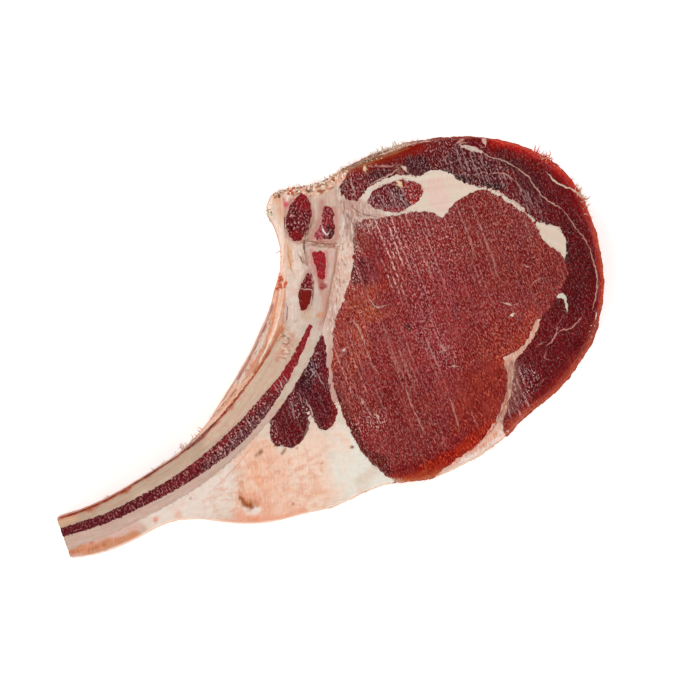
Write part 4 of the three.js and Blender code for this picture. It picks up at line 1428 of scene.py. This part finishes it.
# %% The fat between the muscles and below the rib
SUNKEN_FAT = -0.3
FAT_LINE = [(-124, -90), (-60, -66), (0, -46), (60, -30)]
FAT_BY_CHINE = [(3, 66), (4, 52), (5, 44)]
FAT_ABOVE_CHINE = [(1, 75), (6, 78)]
TOP_LEFT_EDGE = [(1, 77), (6, 80)]
FAT_PATCHES = [
    ("#ddcab8", 12, 0.9, [(42, 66), (56, 70)]),
    ("#e2beb4", 4, 0.6, [(45, 71), (46, 64)]),
    ("#d7c4b1", 6, 0.9, [(95, 50), (99, 46)]),
    ("#d8bcae", 7, 0.85, FAT_BY_CHINE),
    ("#b58a7d", 4.0, 0.75, [(8, 62), (12, 60), (18, 58.6)]),
    ("#b38a7c", 2.6, 0.75, [(9.6, 58), (9.4, 50), (9, 46)]),
    ("#e0c2b1", 4.4, 0.8, [(6, 42), (5, 34), (3, 28)]),
    ("#d2ad9f", 3.6, 0.8, [(1.6, 34), (0, 24), (0, 14)]),
    ("#c49a8e", 3, 0.7, [(0.4, 12), (0, 2)]),
    ("#b8827a", 2.6, 0.75, [(0, -2), (0.4, -14), (1.4, -22)]),
    ("#e3cabd", 3.6, 0.7, [(-12, -42), (-6, -44), (0, -42)]),
    ("#e5dfd2", 12, 0.9, [(14, -48), (6, -54), (20, -58)]),
    ("#efccb5", 12, 0.9, [(-10, -52), (-9, -64)]),
    ("#edbda2", 11, 0.9, [(-32, -52), (-32, -64), (-26, -72)]),
    ("#e6a78a", 4, 0.7, [(-38, -66), (-31, -67), (-30, -75)]),
    ("#e5a083", 2.2, 0.7, [(-50, -77), (-36, -77), (-24, -75.4), (-12, -72)]),
    ("#e6d5c9", 9, 0.85, [(-74, -73), (-60, -68), (-50, -60)]),
    ("#c8a496", 3, 0.85, [(-116, -91), (-100, -86), (-84, -79)]),
    ("#d6b0a4", 2.4, 0.85, [(-112, -86.6), (-98, -82.6), (-86, -78.6)]),
    ("#c8845c", 2.0, 0.9, [(-116.4, -89.8), (-105, -87.6), (-94, -84.8), (-86, -81.8)]),
    ("#b96a44", 0.8, 0.7, [(-116, -90), (-108, -88.4), (-100, -86.4)]),
    ("#c04a3c", 0.9, 0.85, [(-105.4, -85.4)]),
    ("#d8806c", 1.3, 0.8, [(-77.4, -75.4)]),
    ("#dfa58f", 1.2, 0.6, [(-67.4, -73.4)]),
    ("#e8a27c", 2.4, 0.6, [(-34.4, -53), (-32.6, -58)]),
    ("#e58f68", 1.8, 0.6, [(-41, -75), (-38.6, -72.6), (-34, -74)]),
    ("#e2a078", 1.8, 0.5, [(-7, -60), (-6.4, -62.6)]),
    ("#d9a072", 0.9, 0.7, [(-4.6, -53.6)]),
    ("#e9e0d6", 1.7, 0.85, [(-37, -71), (-32.6, -71)]),
    ("#d08a5c", 1.3, 0.7, [(-39.4, -59), (-40.2, -64)]),
    ("#a8571f", 1.5, 0.95, [(-39.6, -66.2), (-38, -67.8), (-35.8, -68.8)]),
    ("#bc7440", 1.0, 0.8, [(-36.4, -67.2), (-34, -67.6), (-32.6, -68.8)]),
    ("#96481a", 0.7, 0.9, [(-40.4, -65.6), (-38.2, -68.4), (-35, -69.6)]),
    ("#9a6234", 0.7, 0.85, [(-32.8, -47.2), (-31, -45.4)]),
    ("#8c5c38", 0.7, 0.8, [(-21.8, -46.2), (-20.6, -44.6)]),
    ("#a87450", 0.5, 0.7, [(-15.4, -44)]),
    ("#a5562f", 0.6, 0.8, [(-4.5, -50.6)]),
    ("#6d3c2c", 0.5, 0.9, [(9, -43.6)]),
    ("#a5563c", 0.6, 0.8, [(-17, -68.4)]),
    ("#a5563c", 0.6, 0.7, [(-62, -66)]),
    ("#d9c5b2", 2.6, 0.7, [(12, -58), (18, -54)]),
    ("#e6c9bd", 4, 0.8, [(58, -48), (72, -38)]),
    ("#caa79a", 1.5, 0.7, [(88, 12), (80, -3)]),
    ("#e2987a", 3, 0.85, [(1, 73.4), (4, 75.4)]),
    ("#b9663f", 1.4, 0.85, [(3, 78), (8, 80)]),
]
FAT_THREADS = [
    ("#9a7468", 0.29, [(4.6, 66), (6, 60), (9, 55), (10, 49)]),
    ("#8c685e", 0.25, [(8, 62), (13, 59), (20, 57.4)]),
    ("#b3938a", 0.25, [(5.8, 63), (6, 55), (7.4, 47)]),
    ("#c49a8c", 0.25, [(2, 34), (0.6, 26), (-0.6, 18)]),
    ("#d9a58f", 0.22, [(-54, -64), (-44, -54), (-34, -42)]),
    ("#e2b29c", 0.22, [(-12, -43), (-10, -52), (-10, -60)]),
    ("#c9a08c", 0.25, [(72, 69), (80, 64), (87, 57)]),
]
FAT_RIMS = [  # colour, reach from the outline in mm, strength, spread in mm, course
    ("#e3a98c", 1.0, 0.6, 8, [(-90, -82), (-60, -78), (-30, -78), (-6, -70)]),
    ("#dfc4a8", 0.8, 0.6, 8, [(0, -66), (14, -62), (28, -58)]),
    ("#a86a4c", 2.0, 0.8, 6, TOP_LEFT_EDGE),
    ("#cdb39c", 0.8, 0.7, 6, TOP_LEFT_EDGE),
]
FAT_FLANK = ("#d6a688", "#e2c0a8", "#ead2c0")
FAT_BLUSH = [
    (0.62, 12, [(-42, -66), (-28, -58), (-8, -58)]),
    (0.05, 10, [(14, -48), (6, -56), (20, -58)]),
    (0.4, 4, [(0, 62), (3, 50), (6, 40), (2, 26)]),
    (0.15, 10, [(44, 68), (58, 70)]),
    (0.8, 2, [(-116, -90), (-86, -82)]),
]
FAT_SPECKS = [
    (0.8, 3.4, [(8, 64), (11, 58), (9.6, 46)]),
    (0.7, 4, FAT_BY_CHINE),
    (0.6, 3, [(5, 40), (2.6, 28), (0, 10)]),
    (0.8, 3.4, FAT_ABOVE_CHINE),
    (0.35, 1.6, [(60, 58), (20, 58)]),
    (0.5, 1.4, [(72, 69), (88, 57)]),
]
FAT_FLECKS = [
    (0.35, 12, [(-42, -60), (-24, -56), (-12, -52)]),
    (0.6, 6, [(3, 66), (5, 54), (5, 40), (3, 28), (0, 10)]),
    (0.9, 3.4, FAT_ABOVE_CHINE),
    (0.5, 4, [(12, 60), (22, 58)]),
]

fat = dress(
    "seam_fat", "fat_between_the_muscles", seam_fat,
    relief=((0.08, 2, 71), (0.25, 7, 72)), base="#dcc9b9", patches=FAT_PATCHES, rims=FAT_RIMS,
    flank=FAT_FLANK, threads=FAT_THREADS,
    weights={"blush": (0.25, FAT_BLUSH), "specks": (0.05, FAT_SPECKS), "flecks": (0.1, FAT_FLECKS)},
    course=FAT_LINE, proud=SUNKEN_FAT,
)

# %% The fat under the eye's right-hand end
LOWER_LINE = [(92, 16), (76, -8), (72, -34), (42, -58)]
LOWER_MIDDLE = [(78, -9), (77, -20), (75, -30)]
LOWER_PATCHES = [
    ("#c9917c", 2.4, 0.7, [(91, 14), (86, 3), (80, -4)]),
    ("#a26e5e", 3, 0.85, LOWER_MIDDLE),
    ("#e3b8a4", 3, 0.8, [(72, -37), (66, -43)]),
    ("#d9806a", 1.0, 0.6, [(68, -42), (60, -46.6), (52, -51)]),
    ("#ebdcd2", 1.6, 0.8, [(78, -34), (68, -44), (56, -51.6)]),
]
LOWER_RIMS = [  # colour, reach from the outline in mm, strength, spread in mm, course
    ("#c08a6a", 1.2, 0.75, 6, [(76, -38), (66, -46), (54, -53), (44, -58)]),
    ("#c98058", 1.4, 0.7, 2.4, [(70, -44), (69, -43)]),
]

lower = dress(
    "lower_seam_fat", "fat_under_the_eye", seam_fat,
    relief=((0.12, 1.8, 73), (0.25, 6, 74)), base="#d9b4a4", patches=LOWER_PATCHES, rims=LOWER_RIMS,
    flank=FAT_FLANK, threads=[("#b5604e", 0.25, [(77, -12), (76, -24), (70, -36), (60, -46)])],
    weights={"blush": (0.8, ()), "specks": (0.3, [(0.8, 3, LOWER_MIDDLE)]), "flecks": (0.4, ())},
    course=LOWER_LINE, proud=SUNKEN_FAT,
)

# %% The fatty skin inside the rib cage
PLEURA_LINE = [(-62, -42), (-44, -20), (-33, 0), (-25, 20), (-22, 45), (-24, 72)]
PLEURA_PATCHES = [
    ("#ead6c6", 3, 0.8, [(-28, 62), (-24, 50), (-21.6, 36)]),
    ("#e8c4b0", 2.4, 0.8, [(-21, 40), (-21.4, 24)]),
    ("#d8d0c6", 1.7, 0.85, [(-29.6, 9), (-31, 2), (-34, -4)]),
    ("#d9d2c6", 2.2, 0.85, [(-37, -7), (-41, -13)]),
    ("#ecc0a0", 1.5, 0.8, [(-24, 20), (-27.6, 4), (-35, -11)]),
    ("#e2b096", 2.6, 0.7, [(-52, -29), (-46, -21)]),
    ("#7a2430", 1.5, 0.9, [(-26.8, 18.4), (-33, 5.8), (-38.2, -6.6), (-41.4, -11.6)]),
    ("#c9602c", 1.6, 0.9, [(-24.6, 30.4), (-24.9, 26.4)]),
    ("#8d3c3c", 1.0, 0.8, [(-29.6, 10.4), (-30.6, 8)]),
    ("#a8502c", 1.3, 0.8, [(-34, -10.4), (-30, -5), (-25, 3)]),
    ("#b0643c", 1.4, 0.8, [(-24.6, 5), (-22, 8)]),
    ("#c08a7a", 1.6, 0.6, [(-20.4, 20), (-20.6, 12)]),
]
PLEURA_THREADS = [
    ("#d47c50", 0.36, [(-22.8, 32), (-25, 18), (-28.4, 4), (-36.6, -11)]),
    ("#dd8d68", 0.32, [(-20.8, 24), (-23.6, 10), (-26.6, 2)]),
    ("#d9946f", 0.25, [(-20.6, 46), (-20.9, 40), (-21.8, 34)]),
    ("#a87a66", 0.25, [(-27, 12), (-29.6, 0), (-34, -8), (-40, -16)]),
    ("#6a3a34", 0.29, [(-42, -14), (-46, -20), (-50, -25)]),
    ("#f0dccc", 0.29, [(-22, 20), (-25, 8), (-32, -7)]),
    ("#c4785a", 0.22, [(-23.4, 26), (-26, 12), (-31, 0), (-38, -12)]),
    ("#8e5a48", 0.25, [(-55, -33), (-48, -25), (-42, -18)]),
    ("#c8845f", 0.25, [(-52, -31), (-45, -23), (-39, -16)]),
    ("#e8c9b4", 0.29, [(-19.8, 60), (-20.6, 50), (-21.4, 42)]),
]
PLEURA_BLUSH = [(0.25, 4, [(-26, 66), (-22, 40)])]
PLEURA_SPECKS = [
    (0.8, 2, [(-28, 14), (-34, 0), (-42, -14)]),
    (0.0, 5, [(-26, 66), (-22, 36)]),
]

pleura = dress(
    "pleura_fat", "fatty_skin_inside_the_rib_cage", skin_fat,
    relief=((0.16, 1.4, 81), (0.35, 5, 82)), base="#e2b498", patches=PLEURA_PATCHES,
    flank=("#c48664", "#dba68a", "#e6c2ac"), threads=PLEURA_THREADS,
    weights={"blush": (0.75, PLEURA_BLUSH), "specks": (0.25, PLEURA_SPECKS), "flecks": (0.1, ())},
    course=PLEURA_LINE, proud=SUNKEN_FAT,
)

# %% [markdown]
# ## Ragged borders
# Where two tissues meet, the cut drags each a little way over the other. So near a seam each vertex keeps
# its neighbour's colour, which side of the seam it is on and how near it is. The materials lay one
# pattern over both sides, and it says which of the two shows.

# %% What each piece has near its borders
BORDER_REACH = 0.3  # in mm
BORDER_PATCHES = [
    (0.8, 3.5, [(3, 20), (8, 28), (10, 36), (10, 46)]),
    (0.5, 4, [(-14, 66), (-12, 58), (-15, 50)]),
    (0.6, 4, [(-6, 42), (-4, 30)]),
    (0.6, 4, [(-2, 62), (-1, 54), (-4, 50)]),
    (0.55, 3, [(46, 76), (62, 72), (74, 70)]),
]
BORDER_SEARCH = 1.2 * MM
FACE_DEPTH = 3 * MM  # below either cut face, where borders can be seen

skins = [o for o in bpy.data.objects if "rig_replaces" in o]
sides = []
for piece in skins:
    weigh(piece, "border_reach", BORDER_REACH, BORDER_PATCHES, on_flank=1)
    points = points_of(piece)
    inside = kept(piece, "inside")
    on_face = (points[:, 2] < FACE_DEPTH) | (points[:, 2] > THICKNESS - FACE_DEPTH)
    sides.append({
        "points": points,
        "inside": inside,
        "on_face": on_face,
        "paint": kept(piece, "paint"),
        "reach": kept(piece, "border_reach") * MM,
        "rim": np.flatnonzero(on_face & (inside < 0.5 * VOXEL)),
    })

# %% The neighbour's colour along the borders
for own, (piece, side) in enumerate(zip(skins, sides)):
    others = [(n, i) for n, other in enumerate(sides) if n != own for i in other["rim"]]
    tree = KDTree(len(others))
    for entry, (n, i) in enumerate(others):
        tree.insert(sides[n]["points"][i], entry)
    tree.balance()
    inside = side["inside"]
    turn = np.zeros(len(inside))  # 1 or -1 near a border, and opposite on its two sides
    other_paint = side["paint"].copy()
    for i in np.flatnonzero(side["on_face"] & (inside < side["reach"] + VOXEL)):
        _, entry, away = tree.find(side["points"][i])
        if away < BORDER_SEARCH + max(inside[i], 0):
            n, near = others[entry]
            turn[i] = 1 if n < own else -1
            other_paint[i] = sides[n]["paint"][near]
    store(piece, "border_side", turn)
    store(piece, "border_level", 0.5 + turn * (inside + SEAM_MIDDLE) / (2 * side["reach"]))
    store(piece, "border_paint", other_paint)
    print(piece.name, "has", int(np.count_nonzero(turn)), "points along its borders")

# %% [markdown]
# ## Torn fibres and crumbs
# Knife and saw leave frayed ends of sinew, fat and bone along the outside. One strand and one crumb are
# modelled and copied along courses, and seeded chance varies their place, size and lean. A strand roots
# inside the wall and a crumb sinks into the face, so none of them floats.


# %% One strand and one crumb
def model_strand():
    """A bent strand of length 1 along X, thinning to its tip."""
    bpy.ops.object.select_all(action="DESELECT")
    bpy.ops.curve.primitive_bezier_curve_add(location=(0, 0, 0))
    strand = bpy.context.object
    root, tip = strand.data.splines[0].bezier_points
    for end in (root, tip):
        end.handle_left_type = end.handle_right_type = "FREE"
    root.co, root.handle_left, root.handle_right = (0, 0, 0), (-0.3, 0, 0), (0.35, 0.1, 0.2)
    tip.co, tip.handle_left, tip.handle_right = (1, 0.2, 0), (0.75, 0.5, 0.1), (1.2, 0, 0)
    root.radius, tip.radius = 1, 0.25
    strand.data.resolution_u = 5
    strand.data.bevel_depth = 0.1
    strand.data.bevel_resolution = 1
    strand.data.use_fill_caps = True
    bpy.ops.object.convert(target="MESH")
    return bpy.context.object


def model_crumb():
    """A lumpy crumb about 1 across."""
    bpy.ops.object.select_all(action="DESELECT")
    bpy.ops.mesh.primitive_uv_sphere_add(segments=7, ring_count=5, radius=0.45, location=(0, 0, 0))
    bpy.ops.object.mode_set(mode="EDIT")
    bpy.ops.mesh.select_all(action="SELECT")
    bpy.ops.transform.vertex_random(offset=0.16, seed=5)
    bpy.ops.object.mode_set(mode="OBJECT")
    return bpy.context.object


# %% Places for the copies
SPOT_HEIGHTS = (0.12, 0.95)  # lowest and highest, as shares of the thickness
SHORT_OF_END = 1.001  # keeps a spot just before the last point of its course


def spot_on(course, chance):
    """A chance spot along a course, at a chance height, on the nearest outside wall, and the way out."""
    line = on_sheet(rounded(course))
    at = chance.uniform(0, len(line) - SHORT_OF_END)
    flat = line[int(at)] + (line[int(at) + 1] - line[int(at)]) * (at % 1)
    height = THICKNESS * chance.uniform(*SPOT_HEIGHTS)
    wall, outward, _, _ = FREE_WALLS.find_nearest(Vector((*flat, height)))
    return wall, outward


def copy_to(model, place, hex_code):
    """A copy of a model with a mesh of its own, moved to its place and coloured."""
    piece = bpy.data.objects.new(model.name, model.data.copy())
    piece.data.transform(place)
    bpy.context.scene.collection.objects.link(piece)
    store(piece, "paint", np.tile(linear(hex_code), (len(piece.data.vertices), 1)))
    return piece


def join_copies(copies, model, name, material):
    """Joins the copies into one named piece and drops the model."""
    bpy.data.objects.remove(model)
    bpy.ops.object.select_all(action="DESELECT")
    for piece in copies:
        piece.select_set(True)
    bpy.context.view_layer.objects.active = copies[0]
    bpy.ops.object.join()
    piece = bpy.context.object
    piece.name = name
    piece.data.materials.clear()
    piece.data.materials.append(material)
    bpy.ops.object.shade_smooth()
    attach(piece, "root")
    print(name, "has", len(copies), "copies and", len(piece.data.polygons), "faces")


# %% The material of strands and crumbs
frayed, frayed_tree, frayed_shader = start_material(
    "frayed_sinew_fat_and_bone_dust", {"Roughness": 0.5, "Specular IOR Level": 0.15}
)
frayed_colour = add_node(frayed_tree, "Attribute", attribute_name="paint")
frayed_tree.links.new(frayed_colour, frayed_shader.inputs["Base Color"])

# %% Strands along the outside
ROOT_DEPTH = 0.7 * MM
STRAND_THICKNESS = (0.6, 1.3)  # least and most, for each mm of length
LEAN_SIDEWAYS = 0.7  # the usual lean in radians
LEAN_UPWARDS = 0.5
CHINE_TOP = [(-26, 68.5), (-14, 71), (-4, 74), (4, 79)]
STRANDS = [  # colour, count, shortest and longest in mm, course
    ("#cbb5a0", 70, (0.8, 2.4), [(4, 80), (16, 85), (28, 89.6), (40, 92)]),
    ("#7c5444", 44, (0.8, 1.8), [(2, 79), (16, 85), (28, 89.6)]),
    ("#e2d2be", 60, (1.4, 3.0), [(16, 85), (24, 88), (32, 91)]),
    ("#8a2412", 12, (0.7, 1.6), [(42, 92.6), (52, 92), (70, 93), (88, 88)]),
    ("#c83a1c", 9, (2.4, 4.6), [(90, 86.6), (94, 84.4), (97, 83)]),
    ("#e0a084", 8, (2.0, 4.8), [(91, 86), (94, 84.4), (97, 83)]),
    ("#c2502e", 18, (0.8, 2.6), [(88, 87.4), (92, 85.6), (97, 82.6)]),
    ("#a82412", 26, (0.8, 2.0), [(90, 86.6), (100, 80), (106, 73)]),
    ("#b02810", 8, (0.8, 2.0), [(92, 85), (100, 80), (105, 75)]),
    ("#d4b89c", 34, (1.2, 4.2), [(108, 71), (112, 66), (115, 60)]),
    ("#c08a6a", 20, (0.8, 2.6), [(107, 72), (112, 66), (116, 58)]),
    ("#a8441c", 12, (0.6, 1.2), [(117, 52), (120, 36), (120.5, 24), (118, 10)]),
    ("#b0562f", 10, (0.6, 1.2), [(112, -2), (102, -14), (92, -22), (82, -32)]),
    ("#d9987a", 16, (0.8, 1.8), [(80, -36), (72, -42), (66, -46), (56, -51)]),
    ("#a87452", 12, (0.7, 1.6), [(76, -39), (68, -45), (54, -53), (46, -57)]),
    ("#a8927e", 14, (0.8, 1.8), [(44, -58), (32, -60), (22, -61), (14, -63)]),
    ("#d8a78c", 12, (0.6, 1.2), [(8, -65), (-10, -73), (-40, -78), (-70, -78)]),
    ("#e6c6b4", 8, (1.0, 2.6), [(-100.6, -66.4), (-99, -65.6)]),
    ("#dcb8a0", 16, (1.2, 3.4), [(-67, -46), (-62, -41), (-57, -36)]),
    ("#c88a6c", 14, (1.0, 2.6), [(-80, -54), (-66, -45), (-56, -36)]),
    ("#8a4a2c", 16, (0.6, 1.4), [(-112, -71), (-88, -59), (-66, -45), (-54, -35)]),
    ("#a8684c", 14, (0.7, 1.6), [(-56, -38), (-44, -19), (-33, 0), (-27, 16)]),
    ("#d98a60", 10, (0.7, 1.8), [(-27, 20), (-25, 30), (-23, 40)]),
    ("#b0a080", 12, (1.2, 2.8), [(-28, 62), (-28.6, 57)]),
    ("#c8b8a4", 1, (2.6, 2.7), [(-23.4, 43), (-23.2, 42.4)]),
    ("#e3c8ae", 40, (0.8, 2.2), CHINE_TOP),
    ("#c06a44", 16, (0.8, 2.0), [(-20, 69.6), (-8, 72), (4, 79)]),
    ("#7e4c34", 24, (0.7, 1.8), CHINE_TOP),
]

chance = random.Random(11)
strand = model_strand()
strands = []
for hex_code, count, (short, long), course in STRANDS:
    for _ in range(count):
        wall, outward = spot_on(course, chance)
        length = chance.uniform(short, long) * MM
        thick = chance.uniform(*STRAND_THICKNESS) * length
        lean = Matrix.Rotation(chance.gauss(0, LEAN_SIDEWAYS), 4, "Z")
        lean = lean @ Matrix.Rotation(chance.gauss(0, LEAN_UPWARDS), 4, "Y")
        roll = Matrix.Rotation(chance.uniform(0, math.tau), 4, "X")
        turn = outward.to_track_quat("X", "Z").to_matrix().to_4x4() @ lean @ roll
        size = Matrix.Diagonal((length + ROOT_DEPTH, thick, thick, 1))
        root = Matrix.Translation(wall - outward * ROOT_DEPTH)
        strands.append(copy_to(strand, root @ turn @ size, hex_code))
join_copies(strands, strand, "frayed_ends", frayed)

# %% Crumbs on the sawn edge of the chine
CRUMB_INSET = (0.1, 1.7)  # least and most, in mm from the outside
FLATNESS = 0.7
CHINE_RIM = [(-27, 67.6), (-18, 70), (-8, 72), (0, 76), (6, 80)]
CHINE_LEFT = [(-28.4, 61.4), (-28.6, 56.6)]
CRUMBS = [  # colour, count, smallest and largest in mm, course
    ("#efdcc6", 56, (0.8, 1.9), CHINE_RIM),
    ("#6a4432", 34, (0.6, 1.5), CHINE_RIM),
    ("#b07850", 34, (0.6, 1.6), CHINE_RIM),
    ("#c8502c", 10, (0.8, 1.8), [(-20, 69.6), (-16, 70.4)]),
    ("#d0683c", 14, (0.6, 1.4), [(-2, 74), (3, 77.4), (8, 80)]),
    ("#cc6440", 12, (1.4, 3.0), [(-23.6, 31.4), (-24.8, 29), (-25.4, 26.4)]),
    ("#e29a70", 5, (0.8, 1.6), [(-24.6, 30.4), (-25.4, 27)]),
    ("#c23a26", 4, (0.5, 0.9), [(-10.4, 72), (-8.6, 72.4)]),
    ("#cdbfa6", 26, (0.4, 0.9), [(6, 80.6), (20, 86.6), (36, 91.4)]),
    ("#5e4034", 18, (0.35, 0.7), [(4, 80), (16, 85), (26, 89)]),
    ("#d6cdb4", 8, (0.8, 1.6), CHINE_LEFT),
    ("#9a8c68", 7, (0.6, 1.3), CHINE_LEFT),
    ("#f0e0d4", 4, (0.4, 0.8), [(117, 10), (115.6, 6), (114, 2.4)]),
    ("#e08a70", 12, (0.5, 1.0), [(88, 87.6), (95, 84), (102, 79)]),
    ("#e8b8a4", 8, (0.3, 0.5), [(110, 69), (114, 60), (118, 46), (120, 28), (118, 14)]),
]

crumb = model_crumb()
crumbs = []
depsgraph = bpy.context.evaluated_depsgraph_get()
for hex_code, count, (smallest, largest), course in CRUMBS:
    for _ in range(count):
        wall, outward = spot_on(course, chance)
        above = wall - outward * chance.uniform(*CRUMB_INSET) * MM
        above.z = 2 * THICKNESS
        found, place, _, _, _, _ = bpy.context.scene.ray_cast(depsgraph, above, Vector((0, 0, -1)))
        if found and place.z > 0.5 * THICKNESS:
            long, wide, high = (chance.uniform(smallest, largest) * MM for _ in range(3))
            turn = Matrix.Rotation(chance.uniform(0, math.tau), 4, "Z")
            size = Matrix.Diagonal((long, wide, FLATNESS * high, 1))
            crumbs.append(copy_to(crumb, Matrix.Translation(place) @ turn @ size, hex_code))
join_copies(crumbs, crumb, "crumbs_of_bone_and_fat", frayed)
